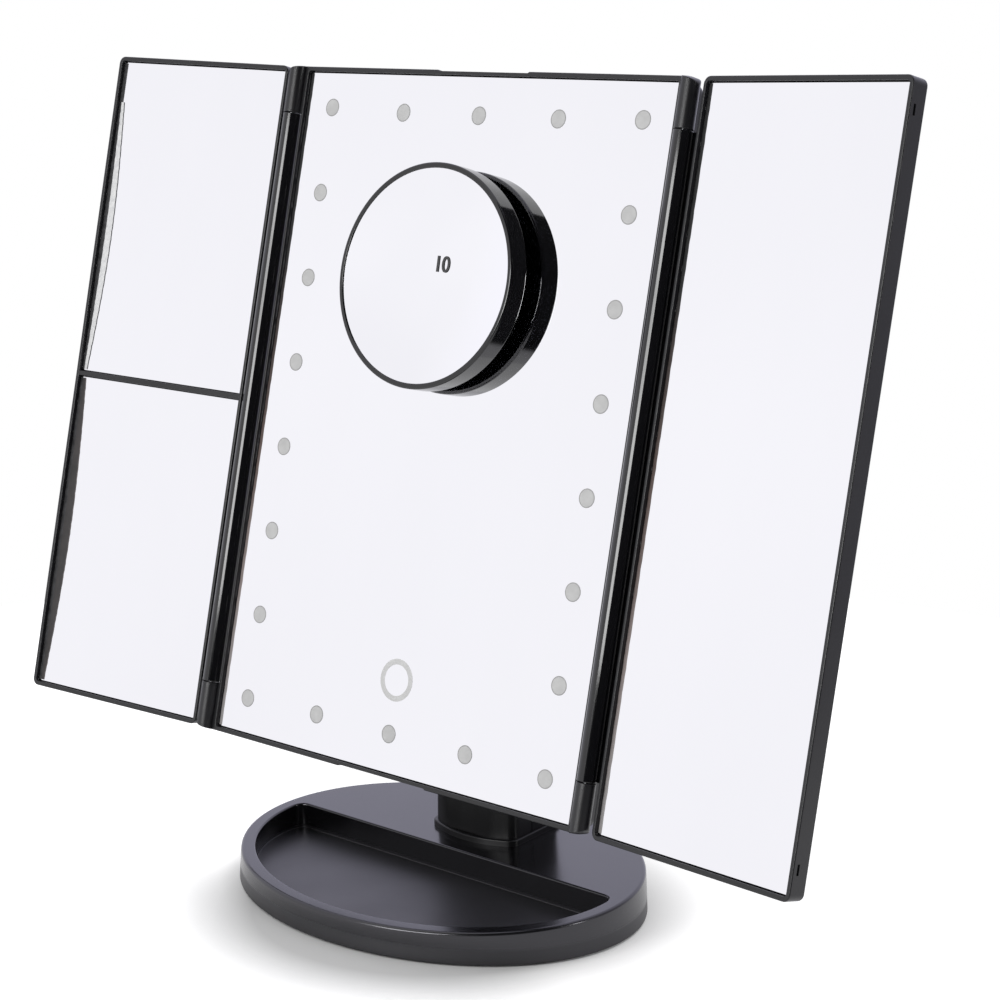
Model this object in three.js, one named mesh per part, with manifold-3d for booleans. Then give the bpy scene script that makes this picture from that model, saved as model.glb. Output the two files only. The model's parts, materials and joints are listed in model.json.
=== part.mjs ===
// Lighted three-panel makeup mirror on a tray base. Millimetres, +Z up, the mirror faces -Y.
// The origin is the centre of the base's underside.
import * as THREE from "three";
import { mergeVertices } from "three/addons/utils/BufferGeometryUtils.js";
import Module from "manifold-3d";

const wasm = await Module();
wasm.setup();

// Clearances
const SEAT_GAP = 0.3;
const CUT = 1;

// Base
const BASE_WIDTH = 156;
const BASE_DEPTH = 120;
const BASE_FRONT_HEIGHT = 10.4;
const BASE_REAR_HEIGHT = 16.8;
const BASE_DRAFT = 0.6;
const BASE_WALL = 2.2;
const BASE_TOP_WALL = 2.4;
const SKIRT_RISE = 0.5;
const PAD_THICKNESS = 1;
const PAD_MARGIN = 8;
const PAD_HOLE_MARGIN = 1;
const BOTTOM_THICKNESS = 1.8;
const TRAY_RIM = 5.8;
const TRAY_REAR_Y = 4.5;
const TRAY_CORNER = 4;
const TRAY_FLOOR_WALL = 1.5;
const TRAY_SIDE_WALL = 1.6;
const BASE_BOSS_RADIUS = 4;
const BASE_BOSS_SIDE_MARGIN = 26;
const BASE_BOSS_BEHIND_TRAY = 9.5;
const BASE_BOSS_REAR_SPREAD = 60;
const BASE_BOSS_REAR_MARGIN = 17;
const WEIGHT_THICKNESS = 6.5;
const WEIGHT_MARGIN = 2;

// Screws
const BASE_SCREW_RADIUS = 1.5;
const BASE_SCREW_LENGTH = 7;
const NECK_SCREW_RADIUS = 2;
const NECK_SCREW_LENGTH = 10;
const HEAD_SCREW_RADIUS = 1.1;
const HEAD_SCREW_LENGTH = 9;
const SCREW_HEAD_RATIO = 1.8;
const SCREW_HEAD_THICKNESS = 1.4;

// Neck
const NECK_WIDTH = 36.6;
const NECK_DEPTH = 29;
const NECK_FRONT_BOW = 4.2;
const NECK_REAR_MARGIN = 17;
const NECK_CORNER = 3;
const NECK_WALL = 2.4;
const NECK_FOOT_HEIGHT = 9;
const NECK_SOCKET_WALL = 2;
const NECK_SCREW_X = 8;
const COLLAR_WIDTH = 1;
const COLLAR_HEIGHT = 2.2;

// Tilt hinge
const HEAD_TILT = THREE.MathUtils.degToRad(13);
const PIVOT_FROM_NECK_REAR = 14.8;
const PIVOT_Z = 138;
const PIVOT_BELOW_CENTRE = 18;
const PIVOT_BEHIND_GLASS = 35;
const BARREL_RADIUS = 9.5;
const TILT_BOLT_RADIUS = 3;
const TILT_BOLT_HEAD_RADIUS = 5.5;
const TILT_BOLT_HEAD = 2.5;
const TILT_NUT = 3;
const WASHER_RADIUS = 7.5;
const WASHER_THICKNESS = 1.5;
const WASHER_PROUD = 0.3;
const EAR_THICKNESS = 5.5;
const EAR_ROOT_WIDTH = 26;

// Centre panel
const GLASS_WIDTH = 159.8;
const GLASS_HEIGHT = 233.4;
const GLASS_THICKNESS = 2;
const GLASS_CORNER = 0.8;
const FRAME_LIP = 1.1;
const FRAME_END_LIP = 1.6;
const FRAME_PROUD = 1.5;
const FRAME_DEPTH = 6;
const FRAME_LEDGE = 3.3;
const FRAME_CORNER = 0.8;
const PRY_NOTCH_WIDTH = 39;
const PRY_NOTCH_DEPTH = 0.5;
const HEAD_DEPTH = 13;
const COVER_WALL = 2;
const COVER_CORNER = 3.5;
const COVER_BEVEL = 2.5;
const COVER_INSET = 0.3;
const HEAD_SCREW_SIDE_INSET = 5;
const HEAD_SCREW_END_INSET = 13.6;
const HEAD_BOSS_RADIUS = 3.2;

// Lamps and touch ring
const LAMP_SIDE_MARGIN = 12.3;
const LAMP_END_MARGIN = 12.05;
const LAMP_ROW_INSET = 0.8;
const LAMPS_PER_SIDE = 8;
const LAMPS_PER_ROW = 5;
const WINDOW_RADIUS = 3.1;
const ETCH_DEPTH = 0.2;
const RING_ABOVE_EDGE = 31.1;
const RING_OUTER = 7.15;
const RING_INNER = 5.25;
const DIFFUSER_THICKNESS = 1;
const DIFFUSER_BAND = 18;
const STRIP_WIDTH = 8;
const STRIP_THICKNESS = 1.2;
const LAMP_SIZE = 3.5;
const LAMP_THICKNESS = 1.2;
const TOUCH_PAD_RADIUS = 9;

// Electronics and battery box
const BOARD_WIDTH = 72;
const BOARD_HEIGHT = 61;
const BOARD_U = -22;
const BOARD_ABOVE_STRIP = 6.85;
const BOARD_POST_RADIUS = 2;
const BOARD_POST_INSET = 4;
const SWITCH_U = -46;
const SWITCH_V = -44;
const SWITCH_WIDTH = 12;
const SWITCH_HEIGHT = 7;
const KNOB_WIDTH = 5;
const KNOB_HEIGHT = 3.6;
const KNOB_PROUD = 1.3;
const KNOB_TRAVEL = 4;
const KNOB_GROOVE = 0.6;
const KNOB_GROOVE_DEPTH = 0.4;
const USB_U = -46;
const USB_V = -66;
const USB_WIDTH = 7.6;
const USB_HEIGHT = 3;
const USB_WALL = 0.4;
const USB_END_WALL = 1;
const CELL_RADIUS = 7.25;
const CELL_LENGTH = 50.5;
const CELL_NUB_RADIUS = 2.6;
const CELL_NUB = 1;
const CELL_PITCH = 15.1;
const CELL_COUNT = 4;
const BOX_CENTRE_V = 31;
const BOX_WALL = 2;
const BOX_BEVEL = 1.5;
const HOLDER_WALL = 1.2;
const HOLDER_END_WALL = 2.1;
const CONTACT_PLATE = 0.8;
const CONTACT_SPRING = 2.4;
const CONTACT_SPRING_RADIUS = 3;
const DOOR_THICKNESS = 1.7;
const DOOR_MARGIN = 2.2;
const DOOR_GRIP_COUNT = 5;
const DOOR_GRIP_PITCH = 2.4;
const DOOR_GRIP_WIDTH = 18;
const DOOR_GRIP_DEPTH = 0.6;

// Wing hinges
const HINGE_CLEARANCE = 0.5;
const HINGE_W = 1.8;
const HINGE_RADIUS = 3.2;
const KNUCKLE_LENGTH = 17;
const KNUCKLE_CORNER = 3;
const PIN_RADIUS = 1;
const PIN_IN_BARREL = 7;
const PIN_END_WALL = 1.5;
const LEFT_OPEN = THREE.MathUtils.degToRad(7.2);
const RIGHT_OPEN = THREE.MathUtils.degToRad(7.2);

// Wings
const WING_REACH = 84.7;
const WING_START = 5;
const WING_DEPTH = 6.8;
const WING_INNER_LIP = 1.3;
const WING_OUTER_LIP = 1.5;
const WING_GLASS_THICKNESS = 1.8;
const WING_LEDGE = 3;
const WING_LEDGE_THICKNESS = 1.5;
const WING_BACK_THICKNESS = 1.2;
const WING_BACK_MARGIN = 1.2;
const WING_CORNER = 2.5;
const WEB_DROP = 2.3;
const SPLIT_BAR = 1.8;
const SPLIT_V = -0.2;
const SNAP_SLOT_LENGTH = 3.3;
const SNAP_SLOT_HEIGHT = 1;
const SNAP_SLOT_DEPTH = 0.5;
const SNAP_SLOT_INSET = 9.7;
const SNAP_SLOT_BEHIND_FRONT = 1.6;

// Spot mirror
const SPOT_U = -3.5;
const SPOT_V = 48.6;
const SPOT_RADIUS = 37.6;
const SPOT_STANDOFF = 4;
const SPOT_HEIGHT = 8.3;
const SPOT_RIM = 1.8;
const SPOT_BACK_WALL = 1.6;
const SPOT_GLASS_THICKNESS = 1.6;
const SPOT_GLASS_DROP = 0.5;
const SPOT_GLASS_SAG = 3.2;
const SPOT_SEAT = 1.4;
const SPOT_CUP_COUNT = 3;
const SPOT_CUP_CIRCLE = 20;
const SPOT_CUP_RADIUS = 8;
const SPOT_CUP_EDGE = 0.6;
const SPOT_STEM_RADIUS = 2;
const SPOT_STEM_HEAD = 3.2;
const SPOT_STEM_HEAD_HEIGHT = 0.8;

// Sizes that follow from the ones above
const BOTTOM_TOP_Z = PAD_THICKNESS + BOTTOM_THICKNESS;
const TRAY_FLOOR_Z = BOTTOM_TOP_Z + SEAT_GAP + TRAY_FLOOR_WALL;
const NECK_FOOT_Z = BOTTOM_TOP_Z + SEAT_GAP;
const NECK_REAR_Y = BASE_DEPTH / 2 - NECK_REAR_MARGIN;
const NECK_FRONT_Y = NECK_REAR_Y - NECK_DEPTH;
const NECK_SIDE_Y = NECK_FRONT_Y + NECK_FRONT_BOW;
const PIVOT_Y = NECK_REAR_Y - PIVOT_FROM_NECK_REAR;
const EAR_U = NECK_WIDTH / 2 + 2 * SEAT_GAP;
const FRAME_WIDTH = GLASS_WIDTH + 2 * (FRAME_LIP + SEAT_GAP);
const FRAME_HEIGHT = GLASS_HEIGHT + 2 * (FRAME_END_LIP + SEAT_GAP);
const LAMP_COLUMN_U = GLASS_WIDTH / 2 - LAMP_SIDE_MARGIN;
const LAMP_ROW_V = GLASS_HEIGHT / 2 - LAMP_END_MARGIN;
const LAMP_PITCH_V = 2 * LAMP_ROW_V / (LAMPS_PER_SIDE - 1);
const RING_V = RING_ABOVE_EDGE - GLASS_HEIGHT / 2;
const STRIP_TOP_V = LAMP_ROW_INSET - LAMP_ROW_V + STRIP_WIDTH / 2;
const BOARD_V = STRIP_TOP_V + BOARD_ABOVE_STRIP + BOARD_HEIGHT / 2;
const HEAD_SCREW_U = FRAME_WIDTH / 2 - HEAD_SCREW_SIDE_INSET;
const HEAD_SCREW_V = FRAME_HEIGHT / 2 - HEAD_SCREW_END_INSET;
const HINGE_U = FRAME_WIDTH / 2 + HINGE_RADIUS + HINGE_CLEARANCE;
const SNAP_SLOT_V = FRAME_HEIGHT / 2 - SNAP_SLOT_INSET;
const BARREL_HALF = FRAME_HEIGHT / 2 - KNUCKLE_LENGTH;
const DIFFUSER_W = -GLASS_THICKNESS - SEAT_GAP;
const STRIP_FRONT_W = DIFFUSER_W - DIFFUSER_THICKNESS - SEAT_GAP - LAMP_THICKNESS;
const STRIP_BACK_W = STRIP_FRONT_W - STRIP_THICKNESS;
const HOLDER_FRONT_W = STRIP_BACK_W - SEAT_GAP;
const HOLDER_FLOOR_W = HOLDER_FRONT_W - HOLDER_WALL;
const CELL_W = HOLDER_FLOOR_W - SEAT_GAP - CELL_RADIUS;
const DOOR_INNER_W = CELL_W - CELL_RADIUS - SEAT_GAP;
const BOX_BACK_W = DOOR_INNER_W - DOOR_THICKNESS;
const CONTACT_REACH = SEAT_GAP + CONTACT_SPRING + CONTACT_PLATE + SEAT_GAP;
const HOLDER_HALF_U = CELL_LENGTH / 2 + CONTACT_REACH + HOLDER_END_WALL;
const HOLDER_HALF_V = (CELL_COUNT - 1) / 2 * CELL_PITCH + CELL_RADIUS + SEAT_GAP + HOLDER_WALL;
const BOX_HALF_U = HOLDER_HALF_U + SEAT_GAP + BOX_WALL;
const BOX_HALF_V = HOLDER_HALF_V + SEAT_GAP + BOX_WALL;
const WING_FRONT_W = FRAME_PROUD - HINGE_W;
const WING_BACK_W = WING_FRONT_W - WING_DEPTH;

// Colours and finishes
function finish(color, roughness, metalness = 0) {
  return new THREE.MeshStandardMaterial({ color, roughness, metalness });
}

const MATT_BLACK = finish(0x3a3a3e, 0.45);
const GLOSS_BLACK = finish(0x18181a, 0.15);
const MIRROR = finish(0xe8e9f2, 0.03, 1);
const FROSTED = finish(0xd8d8d6, 0.6);
const STEEL = finish(0xa8aaad, 0.35, 0.9);
const RUBBER = finish(0x202022, 0.9);
const BOARD_GREEN = finish(0x2f5a40, 0.6);
const STRIP_WHITE = finish(0xe6e6e0, 0.6);
const CELL_GREY = finish(0x6c7076, 0.4, 0.3);
const HOLDER_BLACK = finish(0x2a2a2c, 0.7);
const CLEAR_SOFT = finish(0xc4c8cc, 0.3);

// Turns a closed three.js geometry into a solid.
function solid(geometry) {
  const bare = geometry.clone();
  bare.deleteAttribute("normal");
  bare.deleteAttribute("uv");
  const merged = mergeVertices(bare, 1e-4);
  const vertProperties = new Float32Array(merged.attributes.position.array);
  const triVerts = new Uint32Array(merged.index.array);
  return new wasm.Manifold(new wasm.Mesh({ numProp: 3, vertProperties, triVerts }));
}

// Turns a solid back into a named mesh.
function piece(name, body, material) {
  const mesh = body.getMesh();
  const geometry = new THREE.BufferGeometry();
  geometry.setAttribute("position", new THREE.BufferAttribute(new Float32Array(mesh.vertProperties), 3));
  geometry.setIndex(new THREE.BufferAttribute(new Uint32Array(mesh.triVerts), 1));
  geometry.computeVertexNormals();
  const result = new THREE.Mesh(geometry, material);
  result.name = name;
  return result;
}

// Two values in rising order, and a stretch of a given half width round a middle.
const between = (p, q) => [Math.min(p, q), Math.max(p, q)];
const around = (middle, half) => [middle - half, middle + half];

const joined = (first, ...rest) => rest.reduce((whole, next) => whole.add(next), first);
const cutBy = (first, ...rest) => rest.reduce((whole, next) => whole.subtract(next), first);

// A block between two values on each axis.
function block(x, y, z) {
  const geometry = new THREE.BoxGeometry(x[1] - x[0], y[1] - y[0], z[1] - z[0]);
  geometry.translate((x[0] + x[1]) / 2, (y[0] + y[1]) / 2, (z[0] + z[1]) / 2);
  return solid(geometry);
}

// A round bar along Z, from one height to another.
function barZ(radius, x, y, z, steps = 24) {
  const geometry = new THREE.CylinderGeometry(radius, radius, z[1] - z[0], steps);
  geometry.rotateX(Math.PI / 2);
  geometry.translate(x, y, (z[0] + z[1]) / 2);
  return solid(geometry);
}

function barX(radius, x, y, z, steps = 32) {
  const geometry = new THREE.CylinderGeometry(radius, radius, x[1] - x[0], steps);
  geometry.rotateZ(Math.PI / 2);
  geometry.translate((x[0] + x[1]) / 2, y, z);
  return solid(geometry);
}

function barY(radius, x, y, z, steps = 24) {
  const geometry = new THREE.CylinderGeometry(radius, radius, y[1] - y[0], steps);
  geometry.translate(x, (y[0] + y[1]) / 2, z);
  return solid(geometry);
}

// An outline in X and Y, raised between two heights.
function slab(shape, z, steps = 6) {
  const geometry = new THREE.ExtrudeGeometry(shape, {
    depth: z[1] - z[0],
    bevelEnabled: false,
    curveSegments: steps,
  });
  geometry.translate(0, 0, z[0]);
  return solid(geometry);
}

// The same with its low edge rounded off.
function easedSlab(shape, z, bevel, steps = 4) {
  const geometry = new THREE.ExtrudeGeometry(shape, {
    depth: z[1] - z[0],
    bevelThickness: bevel,
    bevelSize: bevel,
    bevelOffset: -bevel,
    bevelSegments: 2,
    curveSegments: steps,
  });
  geometry.translate(0, 0, z[0] + bevel);
  const size = 2 * BASE_WIDTH;
  return cutBy(solid(geometry), block([-size, size], [-size, size], [z[1], z[1] + 2 * bevel + CUT]));
}

// An outline in Y and Z, drawn out along X.
function alongX(shape, x, steps = 12) {
  const geometry = new THREE.ExtrudeGeometry(shape, {
    depth: x[1] - x[0],
    bevelEnabled: false,
    curveSegments: steps,
  });
  const turn = new THREE.Matrix4().makeBasis(
    new THREE.Vector3(0, 1, 0),
    new THREE.Vector3(0, 0, 1),
    new THREE.Vector3(1, 0, 0),
  );
  geometry.applyMatrix4(turn);
  geometry.translate(x[0], 0, 0);
  return solid(geometry);
}

// A body of revolution about Z, placed at a point.
function turned(profile, x, y, z, steps = 24) {
  const geometry = new THREE.LatheGeometry(profile.map(([r, h]) => new THREE.Vector2(r, h)), steps);
  geometry.rotateX(Math.PI / 2);
  geometry.translate(x, y, z);
  return solid(geometry);
}

function roundedRect(x, y, radius) {
  const shape = new THREE.Shape();
  shape.moveTo(x[0] + radius, y[0]);
  shape.lineTo(x[1] - radius, y[0]);
  shape.absarc(x[1] - radius, y[0] + radius, radius, -Math.PI / 2, 0, false);
  shape.lineTo(x[1], y[1] - radius);
  shape.absarc(x[1] - radius, y[1] - radius, radius, 0, Math.PI / 2, false);
  shape.lineTo(x[0] + radius, y[1]);
  shape.absarc(x[0] + radius, y[1] - radius, radius, Math.PI / 2, Math.PI, false);
  shape.lineTo(x[0], y[0] + radius);
  shape.absarc(x[0] + radius, y[0] + radius, radius, Math.PI, 1.5 * Math.PI, false);
  return shape;
}

const centredRect = (width, height, radius) => (
  roundedRect([-width / 2, width / 2], [-height / 2, height / 2], radius)
);

function oval(a, b) {
  const shape = new THREE.Shape();
  shape.absellipse(0, 0, a, b, 0, 2 * Math.PI, false);
  return shape;
}

// A countersunk-style screw that points up, its head's underside at height z.
function screw(radius, length, x, y, z) {
  const head = barZ(radius * SCREW_HEAD_RATIO, x, y, [z - SCREW_HEAD_THICKNESS, z], 16);
  return head.add(barZ(radius, x, y, [z - SCREW_HEAD_THICKNESS / 2, z + length], 12));
}

// Height of the base's sloping top at a given Y.
function baseTopZ(y) {
  const slope = (BASE_REAR_HEIGHT - BASE_FRONT_HEIGHT) / BASE_DEPTH;
  return BASE_FRONT_HEIGHT + slope * (y + BASE_DEPTH / 2);
}

// Everything between a height and the sloping top, the top lowered by drop.
function underTop(drop, bottom = -CUT) {
  const shape = new THREE.Shape();
  shape.moveTo(-BASE_DEPTH, bottom);
  shape.lineTo(BASE_DEPTH, bottom);
  shape.lineTo(BASE_DEPTH, baseTopZ(BASE_DEPTH) - drop);
  shape.lineTo(-BASE_DEPTH, baseTopZ(-BASE_DEPTH) - drop);
  return alongX(shape, [-BASE_WIDTH, BASE_WIDTH]);
}

// The half-moon of the tray, larger by grow on every side.
function trayShape(grow) {
  const a = BASE_WIDTH / 2 - TRAY_RIM + grow;
  const b = BASE_DEPTH / 2 - TRAY_RIM + grow;
  const rear = TRAY_REAR_Y + grow;
  const meet = Math.asin(rear / b);
  const ease = TRAY_CORNER / b;
  const corner = a * Math.cos(meet);
  const start = Math.PI - meet + ease;
  const shape = new THREE.Shape();
  shape.absellipse(0, 0, a, b, start, 2 * Math.PI + meet - ease, false);
  shape.quadraticCurveTo(corner, rear, corner - TRAY_CORNER, rear);
  shape.lineTo(TRAY_CORNER - corner, rear);
  shape.quadraticCurveTo(-corner, rear, a * Math.cos(start), b * Math.sin(start));
  return shape;
}

// The neck in plan, bowed at the front, larger by grow on every side.
function neckShape(grow) {
  const half = NECK_WIDTH / 2 + grow;
  const rear = NECK_REAR_Y + grow;
  const side = NECK_SIDE_Y - grow;
  const front = NECK_FRONT_Y - grow;
  const round = NECK_CORNER;
  const shape = new THREE.Shape();
  shape.moveTo(half, side + round);
  shape.lineTo(half, rear - round);
  shape.quadraticCurveTo(half, rear, half - round, rear);
  shape.lineTo(round - half, rear);
  shape.quadraticCurveTo(-half, rear, -half, rear - round);
  shape.lineTo(-half, side + round);
  shape.quadraticCurveTo(-half, side, round - half, side - round / 3);
  shape.quadraticCurveTo(0, 2 * front - side, half - round, side - round / 3);
  shape.quadraticCurveTo(half, side, half, side + round);
  return shape;
}

// The neck seen from the side, from its foot to round the tilt barrel, drawn in by inset.
function neckSide(inset) {
  const shape = new THREE.Shape();
  shape.moveTo(NECK_REAR_Y - inset, NECK_FOOT_Z - CUT * Math.sign(inset));
  shape.lineTo(PIVOT_Y + BARREL_RADIUS - inset, PIVOT_Z);
  shape.absarc(PIVOT_Y, PIVOT_Z, BARREL_RADIUS - inset, 0, Math.PI, false);
  shape.lineTo(NECK_FRONT_Y + inset, NECK_FOOT_Z - CUT * Math.sign(inset));
  return shape;
}

const baseBosses = [-1, 1].flatMap((side) => [
  [side * (BASE_WIDTH / 2 - BASE_BOSS_SIDE_MARGIN), TRAY_REAR_Y + BASE_BOSS_BEHIND_TRAY],
  [side * BASE_BOSS_REAR_SPREAD / 2, BASE_DEPTH / 2 - BASE_BOSS_REAR_MARGIN],
]);
const neckScrewSpots = [-1, 1].map((side) => [side * NECK_SCREW_X, (PIVOT_Y + NECK_REAR_Y) / 2]);

function baseCover() {
  const half = BASE_WIDTH / 2;
  const ratio = BASE_DEPTH / BASE_WIDTH;
  const height = 2 * BASE_REAR_HEIGHT;
  const body = new THREE.CylinderGeometry(half - 2 * BASE_DRAFT, half, height, 96);
  body.rotateX(Math.PI / 2);
  body.scale(1, ratio, 1);
  body.translate(0, 0, height / 2 + SKIRT_RISE);
  const outer = solid(body).intersect(underTop(0));
  const top = BASE_TOP_WALL;
  const room = slab(oval(half - BASE_WALL, BASE_DEPTH / 2 - BASE_WALL), [-CUT, height], 24);
  const trayBlock = slab(trayShape(TRAY_SIDE_WALL), [BOTTOM_TOP_Z + SEAT_GAP, height], 16);
  const socketBlock = slab(neckShape(SEAT_GAP + NECK_SOCKET_WALL), [BOTTOM_TOP_Z + SEAT_GAP, height]);
  const bosses = baseBosses.map(([x, y]) => (
    barZ(BASE_BOSS_RADIUS, x, y, [BOTTOM_TOP_Z + SEAT_GAP, height])
  ));
  const hollow = cutBy(room.intersect(underTop(top, -2 * CUT)), trayBlock, socketBlock, ...bosses);
  const tray = slab(trayShape(0), [TRAY_FLOOR_Z, height], 24);
  const socket = slab(neckShape(SEAT_GAP), [-CUT, height]);
  const holes = baseBosses.map(([x, y]) => (
    barZ(BASE_SCREW_RADIUS + SEAT_GAP, x, y, [-CUT, screwShelfZ + BASE_SCREW_LENGTH + SEAT_GAP], 12)
  ));
  return cutBy(outer, hollow, tray, socket, ...holes);
}

// Countersunk seats for the screw heads go right through the plate.
function baseBottom() {
  const inset = BASE_WALL + SEAT_GAP;
  const outline = oval(BASE_WIDTH / 2 - inset, BASE_DEPTH / 2 - inset);
  const plate = slab(outline, [PAD_THICKNESS, BOTTOM_TOP_Z], 24);
  const seats = baseBosses.map(([x, y]) => screwSeat(BASE_SCREW_RADIUS, x, y));
  const neckSeats = neckScrewSpots.map(([x, y]) => screwSeat(NECK_SCREW_RADIUS, x, y));
  return cutBy(plate, ...seats, ...neckSeats);
}

const screwShelfZ = BOTTOM_TOP_Z - 0.8;

function screwSeat(radius, x, y) {
  const hole = barZ(radius + SEAT_GAP, x, y, [-CUT, BOTTOM_TOP_Z + CUT], 12);
  const recess = barZ(radius * SCREW_HEAD_RATIO + SEAT_GAP, x, y, [-CUT, screwShelfZ], 16);
  return hole.add(recess);
}

function basePad() {
  const pad = slab(oval(BASE_WIDTH / 2 - PAD_MARGIN, BASE_DEPTH / 2 - PAD_MARGIN), [0, PAD_THICKNESS], 20);
  const opening = (radius, x, y) => {
    const wide = radius * SCREW_HEAD_RATIO + PAD_HOLE_MARGIN;
    return barZ(wide, x, y, [-CUT, PAD_THICKNESS + CUT], 16);
  };
  const openings = baseBosses.map(([x, y]) => opening(BASE_SCREW_RADIUS, x, y));
  const neckOpenings = neckScrewSpots.map(([x, y]) => opening(NECK_SCREW_RADIUS, x, y));
  return cutBy(pad, ...openings, ...neckOpenings);
}

function baseWeight() {
  const low = BOTTOM_TOP_Z;
  const inset = BASE_WALL + WEIGHT_MARGIN;
  const outline = oval(BASE_WIDTH / 2 - inset, BASE_DEPTH / 2 - inset);
  const whole = slab(outline, [low, low + WEIGHT_THICKNESS], 20);
  const room = whole.intersect(underTop(BASE_TOP_WALL + SEAT_GAP));
  const front = slab(trayShape(TRAY_SIDE_WALL + WEIGHT_MARGIN), [-CUT, BASE_REAR_HEIGHT], 12);
  const neck = slab(neckShape(NECK_SOCKET_WALL + 2 * SEAT_GAP), [-CUT, BASE_REAR_HEIGHT]);
  const bosses = baseBosses.map(([x, y]) => (
    barZ(BASE_BOSS_RADIUS + SEAT_GAP, x, y, [-CUT, BASE_REAR_HEIGHT])
  ));
  return cutBy(room, front, neck, ...bosses);
}

// Neck post with its hollow, before it is parted into a front and a rear shell.
function neckWhole() {
  const tall = PIVOT_Z + 2 * BARREL_RADIUS;
  const half = NECK_WIDTH / 2;
  const outer = slab(neckShape(0), [0, tall]).intersect(alongX(neckSide(0), [-half, half]));
  const roomZ = [NECK_FOOT_Z + NECK_FOOT_HEIGHT, PIVOT_Z - BARREL_RADIUS - NECK_WALL];
  const room = slab(neckShape(-NECK_WALL), roomZ);
  const inner = room.intersect(alongX(neckSide(NECK_WALL), [-half, half]));
  return outer.subtract(inner);
}

// The space in front of the parting plane and below the barrel.
function neckFrontSpace(gap) {
  const half = NECK_WIDTH;
  return block([-half, half], [-half, PIVOT_Y - gap], [0, PIVOT_Z - BARREL_RADIUS - gap]);
}

function neckRear() {
  const half = NECK_WIDTH / 2;
  const washerSeat = WASHER_THICKNESS + SEAT_GAP - WASHER_PROUD;
  const recess = [-1, 1].map((side) => {
    const ends = between(side * (half - washerSeat), side * (half + CUT));
    return barX(WASHER_RADIUS + SEAT_GAP, ends, PIVOT_Y, PIVOT_Z);
  });
  const bore = barX(TILT_BOLT_RADIUS + SEAT_GAP, [-NECK_WIDTH, NECK_WIDTH], PIVOT_Y, PIVOT_Z, 24);
  const screws = neckScrewSpots.map(([x, y]) => (
    barZ(NECK_SCREW_RADIUS + SEAT_GAP, x, y, [0, screwShelfZ + NECK_SCREW_LENGTH + SEAT_GAP], 12)
  ));
  return cutBy(neckWhole(), neckFrontSpace(0), bore, ...recess, ...screws);
}

function neckFront() {
  return neckWhole().intersect(neckFrontSpace(SEAT_GAP));
}

// A thin step round the foot of the neck, lying on the sloping top.
function neckCollar() {
  const high = BASE_REAR_HEIGHT + 2 * COLLAR_HEIGHT;
  const hole = slab(neckShape(SEAT_GAP), [-CUT, high + CUT]);
  const ring = slab(neckShape(COLLAR_WIDTH), [0, high]).subtract(hole);
  return ring.intersect(underTop(-COLLAR_HEIGHT)).subtract(underTop(0, -2 * CUT));
}

function tiltWasher(side) {
  const half = NECK_WIDTH / 2 + WASHER_PROUD;
  const ends = between(side * (half - WASHER_THICKNESS), side * half);
  const bore = barX(TILT_BOLT_RADIUS + SEAT_GAP, [-NECK_WIDTH, NECK_WIDTH], PIVOT_Y, PIVOT_Z, 24);
  return barX(WASHER_RADIUS, ends, PIVOT_Y, PIVOT_Z).subtract(bore);
}

function baseGroup() {
  const group = new THREE.Group();
  group.add(piece("base_cover", baseCover(), MATT_BLACK));
  group.add(piece("base_bottom", baseBottom(), HOLDER_BLACK));
  group.add(piece("base_pad", basePad(), RUBBER));
  group.add(piece("base_weight", baseWeight(), STEEL));
  baseBosses.forEach(([x, y], i) => {
    const body = screw(BASE_SCREW_RADIUS, BASE_SCREW_LENGTH, x, y, screwShelfZ);
    group.add(piece(`base_screw_${i + 1}`, body, STEEL));
  });
  group.add(piece("neck_rear", neckRear(), GLOSS_BLACK));
  group.add(piece("neck_front", neckFront(), GLOSS_BLACK));
  group.add(piece("neck_collar", neckCollar(), GLOSS_BLACK));
  neckScrewSpots.forEach(([x, y], i) => {
    const body = screw(NECK_SCREW_RADIUS, NECK_SCREW_LENGTH, x, y, screwShelfZ);
    group.add(piece(`neck_screw_${i + 1}`, body, STEEL));
  });
  group.add(piece("tilt_washer_left", tiltWasher(-1), RUBBER));
  group.add(piece("tilt_washer_right", tiltWasher(1), RUBBER));
  return group;
}

// Lamp places on the panel: the rows at top and bottom and the columns between them.
function lampRow(sign) {
  const inner = LAMPS_PER_ROW - 2;
  const step = 2 * LAMP_COLUMN_U / (LAMPS_PER_ROW - 1);
  return Array.from({ length: inner }, (_, i) => (
    [(i - (inner - 1) / 2) * step, sign * (LAMP_ROW_V - LAMP_ROW_INSET)]
  ));
}

function lampColumn(sign) {
  return Array.from({ length: LAMPS_PER_SIDE }, (_, i) => (
    [sign * LAMP_COLUMN_U, LAMP_ROW_V - i * LAMP_PITCH_V]
  ));
}

const lamps = [...lampRow(1), ...lampRow(-1), ...lampColumn(-1), ...lampColumn(1)];

function centreGlass() {
  const sheet = slab(centredRect(GLASS_WIDTH, GLASS_HEIGHT, GLASS_CORNER), [-GLASS_THICKNESS, 0], 4);
  const windows = lamps.map(([u, v]) => barZ(WINDOW_RADIUS, u, v, [-ETCH_DEPTH, CUT], 14));
  const ring = barZ(RING_OUTER, 0, RING_V, [-ETCH_DEPTH, CUT], 32).subtract(
    barZ(RING_INNER, 0, RING_V, [-CUT, 2 * CUT], 32),
  );
  return cutBy(sheet, ...windows, ring);
}

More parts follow.
